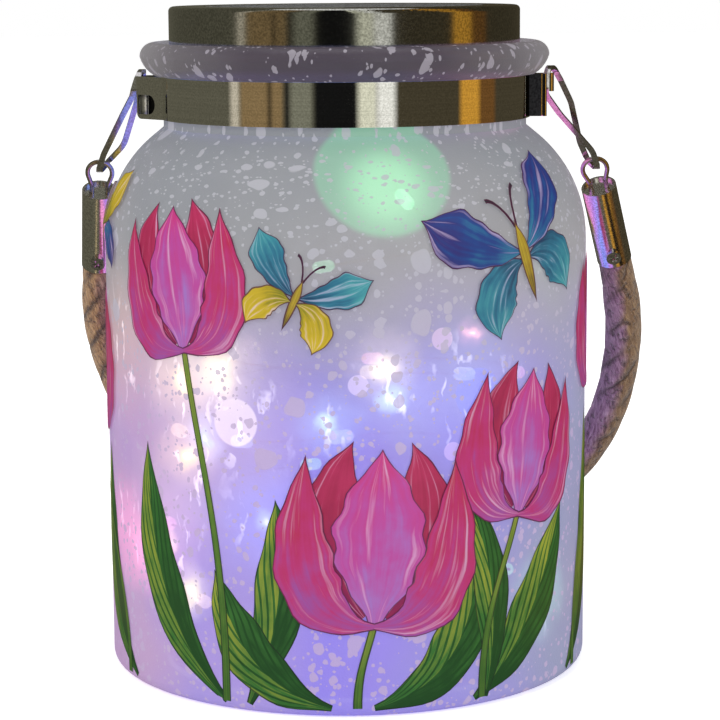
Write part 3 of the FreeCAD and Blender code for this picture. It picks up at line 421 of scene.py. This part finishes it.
for kind, strips in painted.items():
    bm = bmesh.new()
    shape_uv = bm.loops.layers.uv.new("UVMap")
    edge_uv = bm.loops.layers.uv.new("Edge")
    for corners, widths, ripple, ripples in strips:
        layer += 1
        rows = []
        for i in range(strip_steps + 1):
            s = i / strip_steps
            share = ((1 - s) ** 3, 3 * s * (1 - s) ** 2, 3 * s * s * (1 - s), s ** 3)
            slope = (-3 * (1 - s) ** 2, 3 * (1 - s) * (1 - 3 * s), 3 * s * (2 - 3 * s), 3 * s * s)
            x, y = (sum(f * c[axis] for f, c in zip(share, corners)) for axis in (0, 1))
            dx, dy = (sum(f * c[axis] for f, c in zip(slope, corners)) for axis in (0, 1))
            length = math.hypot(dx, dy) or 1.0
            row = []
            for k in range(strip_sides + 1):
                t = 2 * k / strip_sides - 1
                half = smooth_width(widths, s)
                phase = 2 * math.pi * ripples * s + layer + (2 if t > 0 else 0)
                half *= 1 + ripple * math.sin(phase) * abs(t)
                spot = on_jar(x - dy / length * half * t, max(y + dx / length * half * t, paint_foot),
                              paint_lift + paint_step * layer)
                row.append((bm.verts.new(spot), s, t, half * (1 - abs(t))))
            rows.append(row)
        for row, next_row in zip(rows, rows[1:]):
            for k in range(strip_sides):
                cell = (row[k], row[k + 1], next_row[k + 1], next_row[k])
                face = bm.faces.new([v[0] for v in cell])
                face.smooth = True
                for loop, (_, s, t, edge) in zip(face.loops, cell):
                    loop[shape_uv].uv = (s, t * 0.5 + 0.5)
                    loop[edge_uv].uv = (edge, layer * 0.37)
    obj = shape_from(kind, bm)
    paint, shader = new_finish(kind, Roughness=0.42)
    place = place_on(paint)
    shape = split(paint, add(paint, "ShaderNodeUVMap", uv_map="UVMap").outputs["UV"])
    edge = split(paint, add(paint, "ShaderNodeUVMap", uv_map="Edge").outputs["UV"])
    wash = noise(paint, place, 150.0, 4.0)
    streak_at = add(paint, "ShaderNodeCombineXYZ", {
        "X": math_node(paint, "MULTIPLY", shape["X"], 1.6),
        "Y": math_node(paint, "MULTIPLY", shape["Y"], 9.0),
        "Z": edge["Y"],
    }).outputs[0]
    streak = noise(paint, streak_at, 1.0, 3.0)
    tone = math_node(paint, "MULTIPLY_ADD", wash, 0.7, math_node(paint, "MULTIPLY_ADD", streak, 0.9, -0.8))
    tone = math_node(paint, "ADD", tone, math_node(paint, "MULTIPLY_ADD", shape["X"], 0.55, 0.2))
    if kind == "leaf_paint":
        # one side of the leaf yellow, the other dark, with slanting veins
        side_tone = math_node(paint, "GREATER_THAN", shape["Y"], 0.5)
        off_middle = math_node(paint, "ABSOLUTE", math_node(paint, "SUBTRACT", shape["Y"], 0.5))
        slant = math_node(paint, "MULTIPLY_ADD", off_middle, -1.3, shape["X"])
        wave = math_node(paint, "SINE", math_node(paint, "MULTIPLY", slant, 34.0))
        vein = math_node(paint, "LESS_THAN", wave, -0.5)
        tone = math_node(paint, "MULTIPLY_ADD", tone, 0.7, -0.1)
        tone = math_node(paint, "MULTIPLY_ADD", side_tone, 0.4, tone)
        tone = math_node(paint, "MULTIPLY_ADD", vein, -0.35, tone)
    low, middle, high = paint_colours[kind]
    colour = ramp(paint, tone, [(0.1, low), (0.45, middle), (0.85, high)])
    if "petal" in kind or "wing" in kind:
        # thin washes let the frost show through in pale streaks
        thin = scaled(paint, streak, 0.56, 0.74, 0.0, 0.5)
        colour = mix(paint, thin, colour, (0.62, 0.5, 0.72, 1))
    ink = scaled(paint, math_node(paint, "MULTIPLY_ADD", wash, -0.5, edge["X"]), 0.12, -0.05)
    ink_colour = (0.012, 0.025, 0.015, 1) if "leaf" in kind or "stem" in kind else (0.06, 0.008, 0.04, 1)
    colour = mix(paint, math_node(paint, "MULTIPLY", ink, 0.85), colour, ink_colour)
    feed(paint, colour, shader.inputs["Base Color"])
    # the paint also glows in its own colour: painted light from the string behind it
    feed(paint, colour, shader.inputs["Emission Color"])
    shader.inputs["Emission Strength"].default_value = 0.22
    wear(obj, paint)
    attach(obj, "jar")

# Neck band: a strap of sheet steel drawn round the neck under the bead, its ends folded into two ears for
# the links. It is brushed along its length, and the room gives it an olive cast. The guard plate at the
# right ear, in the shade of its fold, wears a near-black copy of the steel as painted shade.


def speckled_steel(name, roughness, dark, pale):
    """Steel with a fine even grit between two tones."""
    finish, shader = new_finish(name, Metallic=1.0, Roughness=roughness)
    place = place_on(finish)
    grit = noise(finish, place, 2000.0)
    colour_by(finish, shader, grit, [(0.35, dark), (0.65, pale)])
    return finish


steel, shader = new_finish("brushed_steel", Metallic=1.0)
place = place_on(steel)
parts = split(steel, place)
across = add(steel, "ShaderNodeCombineXYZ", {"X": parts["X"], "Y": parts["Y"]}).outputs[0]
around = add(steel, "ShaderNodeVectorMath", {0: across}, operation="LENGTH").outputs["Value"]
lines_at = add(steel, "ShaderNodeCombineXYZ", {"X": around, "Y": parts["Z"]}).outputs[0]
lines = noise(steel, lines_at, 2600.0, 3.0)
grit = noise(steel, place, 2400.0)
polish = math_node(steel, "MULTIPLY_ADD", grit, 0.65, math_node(steel, "MULTIPLY", lines, 0.35))
colour_by(steel, shader, polish, [(0.35, (0.66, 0.655, 0.62)), (0.65, (0.98, 0.97, 0.94))])
rough = scaled(steel, polish, 0.3, 0.7, 0.02, 0.07)
feed(steel, rough, shader.inputs["Roughness"])
# a near-black copy of the steel: painted shade, for the guard plate and for the fold behind the left flap
painted_shade = speckled_steel("painted_shade_steel", 0.1, (0.012, 0.012, 0.014), (0.03, 0.03, 0.034))
band = nodes["neck_band"]
wear(band, steel, painted_shade)
# painted shade: the guard plate's front faces wear the near-black steel
guard_start, guard_end, guard_front = 0.0462, 0.0586, -0.0044
for face in band.data.polygons:
    on_guard = guard_start < face.center.x < guard_end and face.center.y < guard_front
    face.material_index = 1 if on_guard and face.normal.y < -0.9 else 0

# behind the hole in the left flap the end of the strap is rolled back, with a painted highlight on its bend
# and painted shade beyond it. Its outline is in mm along the flap and back from it.
flap_corner, flap_turn = Vector((-0.051, -0.0047, 0)), Matrix.Rotation(math.radians(-46), 4, "Z")
fold_left, fold_right, fold_low, fold_high = -0.35, 5.4, 137.3, 142.9
fold_front, fold_sheet = 0.5, 0.2
roll_start, roll_radius, roll_steps = 0.9, 1.1, 10
fold_back = fold_front + roll_radius
quarter = [math.pi / 2 * i / roll_steps for i in range(roll_steps + 1)]
outer_bend, inner_bend = (
    [(roll_start + radius * math.sin(a), fold_back - radius * math.cos(a)) for a in quarter]
    for radius in (roll_radius, roll_radius - fold_sheet)
)
outline = [
    (fold_left, fold_front), *outer_bend, (fold_right, fold_back), (fold_right, fold_back + fold_sheet),
    (inner_bend[-1][0], fold_back + fold_sheet), *inner_bend[::-1], (fold_left, fold_front + fold_sheet),
]
bm = bmesh.new()
low, high = (
    [bm.verts.new(flap_corner + flap_turn @ Vector((x, y, up)) / 1000) for x, y in outline]
    for up in (fold_low, fold_high)
)
for i in range(len(outline)):
    after = (i + 1) % len(outline)
    face = bm.faces.new((low[i], low[after], high[after], high[i]))
    face.smooth = i <= roll_steps
bm.faces.new(low)
bm.faces.new(high)
fold = shape_from("ear_fold", bm)
# the roll's colour follows the way its surface faces: dull olive, then a painted highlight where the bend
# turns to the light, then black
rolled, shader = new_finish("rolled_steel_with_painted_light", Roughness=0.45)
bend = split(rolled, add(rolled, "ShaderNodeTexCoord").outputs["Normal"])["X"]
bend = math_node(rolled, "MULTIPLY_ADD", noise(rolled, place_on(rolled), 2000.0), 0.3, bend)
colour_by(rolled, shader, scaled(rolled, bend, -0.7, 0.9), [
    (0.08, (0.07, 0.07, 0.05)), (0.3, (0.16, 0.155, 0.115)), (0.44, (0.2, 0.19, 0.14)),
    (0.56, (0.75, 0.72, 0.6)), (0.68, (0.75, 0.72, 0.6)), (0.78, (0.03, 0.03, 0.03)),
])
wear(fold, rolled, painted_shade)
# painted shade on everything past the bend, its ends included
for face in fold.data.polygons:
    face.material_index = 1 if face.index > roll_steps else 0
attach(fold, "jar")

# Links and rings: flat bright steel strip bent to a long loop, hooked on each ear, and a staple of round
# wire in its foot, left as it comes from the die.
drawn, shader = new_finish("drawn_steel", Metallic=1.0)
place = place_on(drawn)
streaks = noise(drawn, place, 900.0, 3.0)
colour_by(drawn, shader, streaks, [(0.3, (0.42, 0.39, 0.36)), (0.7, (0.66, 0.63, 0.6))])
feed(drawn, scaled(drawn, streaks, 0.0, 1.0, 0.15, 0.32), shader.inputs["Roughness"])
strip = speckled_steel("strip_steel", 0.13, (0.46, 0.44, 0.44), (0.72, 0.7, 0.72))
for name in ("left_link", "right_link"):
    wear(nodes[name], strip)
for name in ("left_ring", "right_ring"):
    wear(nodes[name], drawn)

# Ferrules and their screws: short tubes of satin steel over the rope's ends, with the rings let in at the
# top. One cross-head screw through each holds the rope.
satin = speckled_steel("satin_steel", 0.2, (0.62, 0.61, 0.58), (0.95, 0.94, 0.9))
for name in ("left_ferrule", "right_ferrule"):
    wear(nodes[name], satin)
wear(nodes["ferrule_screws"], strip)

# Rope handle: jute yarn twisted to a tight rope of four strands. Its ends are pressed into the ferrules,
# and it swells a little where it leaves them.
hang_lean = math.radians(28)
ear_height = 0.14495
rope_drop = [
    (-64.575, 54.145), (-65.6, 67.8), (-63.5, 86), (-57.5, 105), (-45, 123), (-26, 137), (1, 145),
    (27, 145), (50, 137), (64.5, 122.5), (72, 104.5), (74.4, 86), (73.7, 68), (70.233, 53.357),
]
rope_route = [
    Vector((x, drop * math.sin(hang_lean), -drop * math.cos(hang_lean))) / 1000 + Vector((0, 0, ear_height))
    for x, drop in rope_drop
]


def spline_points(route, steps):
    """Points along a smooth spline whose control points are the route."""
    curve = bpy.data.curves.new("route", "CURVE")
    curve.dimensions = "3D"
    spline = curve.splines.new("NURBS")
    spline.points.add(len(route) - 1)
    for place, point in zip(spline.points, route):
        place.co = (*point, 1)
    spline.order_u = 3
    spline.use_endpoint_u = True
    curve.resolution_u = steps
    holder = add_object("route", curve)
    mesh = bpy.data.meshes.new_from_object(holder.evaluated_get(bpy.context.evaluated_depsgraph_get()))
    points = [v.co.copy() for v in mesh.vertices]
    bpy.data.objects.remove(holder)
    bpy.data.curves.remove(curve)
    bpy.data.meshes.remove(mesh)
    return points


def path_length(points):
    return sum((b - a).length for a, b in zip(points, points[1:]))


def frames_along(points):
    """At each point of a path: the point, two directions across it, its own direction and the way so far."""
    normal = (points[1] - points[0]).orthogonal().normalized()
    along, frames = 0.0, []
    for i, point in enumerate(points):
        tangent = (points[min(i + 1, len(points) - 1)] - points[max(i - 1, 0)]).normalized()
        normal = (normal - tangent * normal.dot(tangent)).normalized()
        if i:
            along += (point - points[i - 1]).length
        frames.append((point, normal, tangent.cross(normal), tangent, along))
    return frames


def skin_rings(bm, rings):
    """Closes a tube over rings of vertices with their ways along it, which its UVs show with the turn."""
    uv_layer = bm.loops.layers.uv.get("UVMap") or bm.loops.layers.uv.new("UVMap")
    for (ring_a, way_a), (ring_b, way_b) in zip(rings, rings[1:]):
        sides = len(ring_a)
        for k in range(sides):
            after = (k + 1) % sides
            face = bm.faces.new((ring_a[k], ring_a[after], ring_b[after], ring_b[k]))
            face.smooth = True
            spots = ((way_a, k), (way_a, k + 1), (way_b, k + 1), (way_b, k))
            for loop, (way, turn) in zip(face.loops, spots):
                loop[uv_layer].uv = (way, turn / sides)
    for ring, _ in (rings[0], rings[-1]):
        bm.faces.new(ring)


def grooved_tube(name, points, radius, count, turn_length, depth, sides, swell, free_after):
    """A tube along a path with grooves wound round it, as between the strands of a tight rope. It swells by a
    share once it is free of its ends, and the grooves run with its UVs."""
    whole = path_length(points)
    bm = bmesh.new()
    rings = []
    for point, normal, side, _, along in frames_along(points):
        spread = min(min(along, whole - along) / free_after, 1.0)
        spread = spread * spread * (3 - 2 * spread)
        ring = []
        for k in range(sides):
            around = 2 * math.pi * k / sides
            lobe = abs(math.sin(count * around / 2))
            angle = around + 2 * math.pi * along / turn_length
            reach = radius * (1 - depth * (1 - lobe ** 0.45)) * (1 + swell * spread)
            ring.append(bm.verts.new(point + (normal * math.cos(angle) + side * math.sin(angle)) * reach))
        rings.append((ring, along))
    skin_rings(bm, rings)
    return shape_from(name, bm)


rope_points = spline_points(rope_route, 18)
rope_radius = 0.0043
rope_strands, rope_lead = 4, 0.042
rope_groove, rope_sides = 0.045, 42
rope_swell, rope_free = 0.13, 0.016
rope = grooved_tube("twisted_rope", rope_points, rope_radius, rope_strands, rope_lead, rope_groove,
                    rope_sides, rope_swell, rope_free)
jute, shader = new_finish("twisted_jute", Roughness=0.9, Sheen_Weight=0.3, Sheen_Roughness=0.5)
uv = add(jute, "ShaderNodeUVMap", uv_map="UVMap").outputs["UV"]
uv_parts = split(jute, uv)
place = place_on(jute)
fuzz = add(jute, "ShaderNodeTexNoise", {
    "Vector": place, "Scale": 420.0, "Detail": 4.0, "Roughness": 0.7}).outputs["Fac"]
mottle = noise(jute, place, 150.0, 3.0)

# dark gaps between the strands, ragged and partly closed by fibres, and small pits: painted shade in these
# hollows
strand_at = math_node(jute, "MULTIPLY_ADD", fuzz, 0.11, uv_parts["Y"])
lobe = math_node(jute, "SINE", math_node(jute, "MULTIPLY", strand_at, rope_strands * math.pi))
lobe = math_node(jute, "ABSOLUTE", lobe)
gap_width = math_node(jute, "MULTIPLY", mottle, 1.2)
gaps_and_painted_shade = math_node(jute, "SUBTRACT", 1.0, math_node(jute, "DIVIDE", lobe, gap_width))
closing = noise(jute, place, 85.0, 3.0)
open_part = scaled(jute, closing, 0.4, 0.58)
gaps_and_painted_shade = math_node(jute, "MULTIPLY", math_node(jute, "MAXIMUM", gaps_and_painted_shade, 0.0), open_part)
pits = scaled(jute, fuzz, 0.46, 0.34, 0.0, 0.75)
gaps_and_painted_shade = math_node(jute, "MAXIMUM", gaps_and_painted_shade, pits)

# fibres, which lie nearly along the rope, against the turn of its strands
fibre_turn = math_node(jute, "MULTIPLY_ADD", uv_parts["X"], 1 / rope_lead + 9.0, uv_parts["Y"])
fibre_turn = math_node(jute, "MULTIPLY", fibre_turn, 2 * math.pi)
fibre_at = add(jute, "ShaderNodeCombineXYZ", {
    "X": math_node(jute, "MULTIPLY", math_node(jute, "COSINE", fibre_turn), 6.5),
    "Y": math_node(jute, "MULTIPLY", math_node(jute, "SINE", fibre_turn), 6.5),
    "Z": math_node(jute, "MULTIPLY", uv_parts["X"], 330.0),
}).outputs[0]
yarn = add(jute, "ShaderNodeTexNoise", {
    "Vector": fibre_at, "Scale": 1.0, "Detail": 6.0, "Roughness": 0.72, "Distortion": 0.7}).outputs["Fac"]
straw_tones = [(0.32, (0.05, 0.022, 0.008)), (0.46, (0.22, 0.118, 0.05)), (0.66, (0.43, 0.27, 0.13))]
violet_light_tones = [(0.32, (0.11, 0.045, 0.09)), (0.46, (0.38, 0.19, 0.36)), (0.66, (0.66, 0.44, 0.66))]
outer = ramp(jute, yarn, straw_tones)
violet_lit_jute = ramp(jute, yarn, violet_light_tones)

# the side towards the jar takes on its violet light, painted into the rope's colour
facing = split(jute, add(jute, "ShaderNodeTexCoord").outputs["Normal"])["X"]
side = split(jute, place)["X"]
inward = math_node(jute, "MULTIPLY", facing, math_node(jute, "MULTIPLY", math_node(jute, "SIGN", side), -1.0))
inward = math_node(jute, "MULTIPLY_ADD", mottle, 0.5, inward)
lit = scaled(jute, inward, 0.05, 0.55)
reached = scaled(jute, side, -0.06, 0.06, 0.3, 0.8)
lit = math_node(jute, "MULTIPLY", lit, reached)
# painted light: the rope is brighter on its left, the side the key light falls on
bright = scaled(jute, side, -0.06, 0.06, 1.55, 0.95)
bright = add(jute, "ShaderNodeCombineXYZ", {"X": bright, "Y": bright, "Z": bright}).outputs[0]
jute_with_painted_light = mix(jute, lit, mix(jute, 1.0, outer, bright, "MULTIPLY"), violet_lit_jute)
# painted shade in the gaps and pits
jute_with_painted_light = mix(jute, math_node(jute, "MULTIPLY", gaps_and_painted_shade, 0.9), jute_with_painted_light, (0.04, 0.019, 0.014, 1))
feed(jute, jute_with_painted_light, shader.inputs["Base Color"])
relief = math_node(jute, "MULTIPLY_ADD", gaps_and_painted_shade, -0.8, yarn)
bump = add(jute, "ShaderNodeBump", {"Strength": 1.0, "Distance": 0.0007, "Height": relief})
feed(jute, bump.outputs["Normal"], shader.inputs["Normal"])
wear(rope, jute)
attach(rope, "handle")
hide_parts("handle_rope")

# Module cup and cover: white moulded plastic with a fine spark-eroded skin. The cup hangs under the lid,
# and its cover closes it from below with two screws.
moulded, shader = new_finish("white_moulding", IOR=1.46)
place = place_on(moulded)
skin = noise(moulded, place, 1800.0)
shade = noise(moulded, place, 40.0)
colour_by(moulded, shader, shade, [(0.3, (0.76, 0.76, 0.74)), (0.7, (0.86, 0.86, 0.84))])
feed(moulded, scaled(moulded, skin, 0.0, 1.0, 0.4, 0.6), shader.inputs["Roughness"])
bump = add(moulded, "ShaderNodeBump", {"Strength": 0.15, "Distance": 0.0001, "Height": skin})
feed(moulded, bump.outputs["Normal"], shader.inputs["Normal"])
for name in ("module_housing", "module_cover"):
    wear(nodes[name], moulded)
wear(nodes["cover_screws"], drawn)

# Inside the module: a rechargeable cell in a green sleeve between steel leaves, a green circuit board with
# its parts, and a slide switch. The light string leaves through a black rubber grommet.


def mottled_skin(name, dark, pale):
    """A moulded or rubber skin, mottled between two tones and a little uneven in its shine."""
    finish, shader = new_finish(name)
    place = place_on(finish)
    skin = noise(finish, place, 700.0, 3.0)
    colour_by(finish, shader, skin, [(0.3, dark), (0.7, pale)])
    shine = scaled(finish, skin, 0.0, 1.0, 0.35, 0.6)
    feed(finish, shine, shader.inputs["Roughness"])
    return finish


for label, dark, pale, names in (
    ("green_sleeve", (0.05, 0.26, 0.1), (0.1, 0.42, 0.18), ("battery_cell",)),
    ("board_mask", (0.02, 0.16, 0.06), (0.05, 0.26, 0.1), ("circuit_board",)),
    ("black_moulding", (0.02, 0.02, 0.022), (0.05, 0.05, 0.055),
     ("wire_grommet", "switch_body", "switch_slider", "board_components")),
):
    finish = mottled_skin(label, dark, pale)
    for name in names:
        wear(nodes[name], finish)
wear(nodes["battery_contacts"], drawn)

# Light string: two enamelled copper wires twisted together, which leave the grommet and lie in loose loops
# down to the jar's floor. Drops of clear resin on the wire hold the lights, which shine in four colours.
wire_route = [
    (10, -8, 130), (11, -9, 121), (18, -14, 113), (33, -2, 106), (32, 22, 101), (8, 36, 97),
    (-20, 32, 93), (-40, 10, 89), (-42, -16, 84.5), (-30, -37, 81), (-6, -46, 80), (18, -43, 79),
    (38, -28, 76), (46, -4, 73), (40, 22, 71), (20, 41, 69.5), (-6, 46, 68), (-30, 36, 66), (-46, 14, 64),
    (-46, -12, 62), (-36, -33, 61.5), (-14, -46, 63), (11, -47, 66), (33, -36, 62), (47, -14, 54),
    (46, 13, 47), (30, 36, 43), (4, 47, 40.5), (-24, 41, 38.5), (-44, 20, 37), (-48, -6, 36.5),
    (-41, -27, 38), (-22, -42, 41), (4, -45, 38), (28, -36, 31), (42, -18, 25), (38, 4, 20),
    (18, 18, 15.5), (-6, 14, 13), (-22, -2, 13.5), (-34, -20, 17), (-37, -31, 22),
]
wire_route = [Vector(point) / 1000 for point in wire_route]
light_colours = {
    "warm_leds": (1.0, 0.72, 0.42),
    "blue_leds": (0.36, 0.5, 1.0),
    "green_leds": (0.3, 1.0, 0.5),
    "pink_leds": (1.0, 0.32, 0.62),
}


def strands(name, points, count, strand_radius, lay_radius, turn_length, sides):
    """A mesh of strands twisted round a path."""
    bm = bmesh.new()
    lean = math.atan2(2 * math.pi * lay_radius, turn_length)
    for k in range(count):
        rings = []
        for point, normal, side, tangent, along in frames_along(points):
            angle = 2 * math.pi * (k / count + along / turn_length)
            out = normal * math.cos(angle) + side * math.sin(angle)
            cross = tangent.cross(out) * math.cos(lean) - tangent * math.sin(lean)
            ring = []
            for i in range(sides):
                turn = 2 * math.pi * i / sides
                reach = (out * math.cos(turn) + cross * math.sin(turn)) * strand_radius
                ring.append(bm.verts.new(point + out * lay_radius + reach))
            rings.append((ring, along))
        skin_rings(bm, rings)
    return shape_from(name, bm)


wire_points = spline_points(wire_route, 10)
wire_strand, wire_turn = 0.0002, 0.006
wire = strands("fairy_wire_pair", wire_points, 2, wire_strand, wire_strand, wire_turn, 6)
enamel, shader = new_finish("enamelled_copper", Metallic=1.0)
place = place_on(enamel)
tarnish = noise(enamel, place, 300.0)
colour_by(enamel, shader, tarnish, [(0.3, (0.5, 0.24, 0.1)), (0.7, (0.85, 0.5, 0.26))])
feed(enamel, scaled(enamel, tarnish, 0.0, 1.0, 0.2, 0.45), shader.inputs["Roughness"])
wear(wire, enamel)
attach(wire, "lid")
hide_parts("fairy_wire")
for name, colour in light_colours.items():
    drop, shader = new_finish(name.replace("leds", "drop"), Roughness=0.15)
    place = place_on(drop)
    swirl = noise(drop, place, 500.0)
    deep = tuple(c * 0.75 for c in colour)
    light = ramp(drop, swirl, [(0.3, deep), (0.7, tuple(0.4 + 0.6 * c for c in colour))])
    feed(drop, light, shader.inputs["Base Color"])
    feed(drop, light, shader.inputs["Emission Color"])
    shader.inputs["Emission Strength"].default_value = 3.0
    wear(nodes[name], drop)

# Lid insert and gasket: a grey moulded disc that carries the panel and the module, and a pale rubber ring
# that seals it on the glass rim.
wear(nodes["lid_insert"], mottled_skin("grey_moulding", (0.09, 0.09, 0.085), (0.15, 0.15, 0.145)))
wear(nodes["lid_gasket"], mottled_skin("pale_rubber", (0.6, 0.59, 0.55), (0.74, 0.73, 0.69)))

# Solar panel and window: dark blue cells in strips with fine silver lines between, let into the insert.
# A clear plastic window lies over them.
cells, shader = new_finish("solar_cells", Roughness=0.2)
place = place_on(cells)
parts = split(cells, place)
line_mask = None
for axis, pitch, width in (("X", 0.0115, 0.05), ("Y", 0.0023, 0.08)):
    saw = math_node(cells, "FRACT", math_node(cells, "MULTIPLY", parts[axis], 1 / pitch))
    line = math_node(cells, "LESS_THAN", saw, width)
    line_mask = line if line_mask is None else math_node(cells, "MAXIMUM", line_mask, line)
crystal = add(cells, "ShaderNodeTexVoronoi", {"Vector": place, "Scale": 260.0}).outputs["Color"]
blue = mix(cells, 0.12, (0.015, 0.02, 0.06, 1), crystal)
feed(cells, mix(cells, line_mask, blue, (0.5, 0.52, 0.55, 1)), shader.inputs["Base Color"])
wear(nodes["solar_panel"], cells)
window, shader = new_finish("clear_window", Roughness=0.05, Alpha=0.12)
place = place_on(window)
haze = noise(window, place, 120.0)
colour_by(window, shader, haze, [(0.3, (0.75, 0.78, 0.82)), (0.7, (0.85, 0.87, 0.9))])
wear(nodes["panel_window"], window)

# Lid cap: a screw band of spun steel over the insert, with a darker finish than the neck band's.
# It is rolled in at its foot and open in the middle over the panel.
wear(nodes["lid_cap"], speckled_steel("spun_steel", 0.13, (0.33, 0.33, 0.305), (0.57, 0.57, 0.54)))

# Stage: a pale paper floor, soft light from both sides and above, and a white surround.
# A few tall cards in a dark ring, with a tray at its foot, are seen by shiny metal alone.
floor_mesh = bpy.data.meshes.new("floor")
reach = 6.0
floor_corners = [(-reach, -reach, 0), (reach, -reach, 0), (reach, reach, 0), (-reach, reach, 0)]
floor_mesh.from_pydata(floor_corners, [], [(0, 1, 2, 3)])
floor = add_object("floor", floor_mesh)
paper, shader = new_finish("white_paper", Roughness=0.9)
place = place_on(paper)
fibre = noise(paper, place, 300.0)
colour_by(paper, shader, fibre, [(0.3, (0.93, 0.93, 0.93)), (0.7, (0.95, 0.95, 0.95))])
shader.inputs["Emission Color"].default_value = (1, 1, 1, 1)
seen = add(paper, "ShaderNodeLightPath").outputs
feed(paper, math_node(paper, "MULTIPLY", seen["Is Camera Ray"], 0.45), shader.inputs["Emission Strength"])
wear(floor, paper)

ring_mesh = bpy.data.meshes.new("card_ring")
ring_radius, ring_foot, ring_top, ring_sides = 0.2, 0.0004, 0.6, 180
corners, faces = [], []
for i in range(ring_sides):
    angle = 2 * math.pi * i / ring_sides
    for up in (ring_foot, ring_top):
        corners.append((ring_radius * math.sin(angle), -ring_radius * math.cos(angle), up))
    faces.append((2 * i, 2 * i + 1, (2 * i + 3) % (2 * ring_sides), (2 * i + 2) % (2 * ring_sides)))
faces.append([2 * i for i in range(ring_sides)])
ring_mesh.from_pydata(corners, [], faces)
card_ring = add_object("card_ring", ring_mesh)
cards = bpy.data.materials.new("studio_cards")
cards.use_nodes = True
cards.node_tree.nodes.remove(cards.node_tree.nodes["Principled BSDF"])
place = place_on(cards)
parts = split(cards, place)
bearing = math_node(cards, "ARCTAN2", parts["X"], math_node(cards, "MULTIPLY", parts["Y"], -1.0))
bearing = math_node(cards, "DEGREES", bearing)


def stand_cards(tone, along, edge, row):
    """Cards before a plain tone, each with its middle and half width along the row, and its colour."""
    for middle, half_width, colour in row:
        off_middle = math_node(cards, "ABSOLUTE", math_node(cards, "SUBTRACT", along, middle))
        share = scaled(cards, off_middle, half_width + edge, half_width - edge)
        tone = mix(cards, share, tone, (*colour, 1))
    return tone


white, cream, pale, grey = (0.9, 0.9, 0.85), (0.75, 0.75, 0.6), (0.55, 0.5, 0.4), (0.2, 0.2, 0.15)
black, tan, amber, sand = (0.008, 0.008, 0.008), (0.25, 0.17, 0.08), (0.6, 0.3, 0.04), (0.7, 0.55, 0.3)
brown = (0.15, 0.07, 0.02)
left_room, right_room = (0.11, 0.105, 0.075, 1), (0.06, 0.05, 0.03, 1)
room = mix(cards, scaled(cards, bearing, -30.0, 30.0), left_room, right_room)
tone = stand_cards(room, bearing, 1.8, [
    (-62.5, 3, pale), (-46, 13, tan), (-41, 0.8, black), (-31, 1.5, black), (-23, 6, grey),
    (-4.5, 12, black), (12, 5, cream), (22, 5, white), (82, 12, brown), (73.5, 7, amber),
])
on_tray = math_node(cards, "LESS_THAN", parts["Z"], 5 * ring_foot)
over_tray = math_node(cards, "MULTIPLY", parts["X"], 1000.0)
tray = stand_cards(left_room, over_tray, 2.0, [(-98, 5, sand), (112, 16, amber), (165, 35, black)])
tone = mix(cards, on_tray, tone, tray)
shine = add(cards, "ShaderNodeEmission", {"Color": tone, "Strength": 1.0})
feed(cards, shine.outputs[0], cards.node_tree.nodes["Material Output"].inputs["Surface"])
wear(card_ring, cards)
card_ring.visible_camera = False
card_ring.visible_diffuse = False
card_ring.visible_transmission = False
card_ring.visible_shadow = False

lamp_aim = Vector((0, 0, 0.08))
for name, spot, width, power in (
    ("key_light", (-0.9, -0.9, 1.1), 0.8, 9.0),
    ("fill_light", (1.0, -0.8, 0.7), 0.8, 5.0),
    ("top_light", (0.0, 0.3, 1.4), 1.0, 7.0),
):
    lamp = bpy.data.lights.new(name, "AREA")
    lamp.size = width
    lamp.energy = power
    holder = add_object(name, lamp)
    holder.location = spot
    holder.rotation_euler = (lamp_aim - Vector(spot)).to_track_quat("-Z", "Y").to_euler()
    holder.visible_glossy = False

world = bpy.data.worlds.new("studio")
bpy.context.scene.world = world
world.use_nodes = True
air = world.node_tree.nodes["Background"]
air.inputs["Color"].default_value = (1, 1, 1, 1)
seen = add(world, "ShaderNodeLightPath").outputs
mirrored = math_node(world, "ADD", seen["Is Glossy Ray"], seen["Is Transmission Ray"])
shown = math_node(world, "ADD", seen["Is Camera Ray"], mirrored)
feed(world, scaled(world, shown, 0.0, 1.0, 0.55, 1.0), air.inputs["Strength"])

# Camera: stands a little above the lid, in front of the jar, and looks slightly down.
# It keeps everything sharp.
camera = bpy.data.cameras.new("camera")
camera.lens = 122.15
camera.sensor_width = 36
camera_holder = add_object("camera", camera)
camera_spot = (0, -0.61, 0.173)
pitch, yaw, roll = math.radians(80.9), math.radians(-0.317), math.radians(-0.35)
camera_holder.matrix_world = (
    Matrix.Translation(camera_spot) @ Matrix.Rotation(yaw, 4, "Z") @ Matrix.Rotation(pitch, 4, "X")
    @ Matrix.Rotation(roll, 4, "Z")
)
bpy.context.scene.camera = camera_holder
bpy.context.scene.view_settings.view_transform = "Standard"
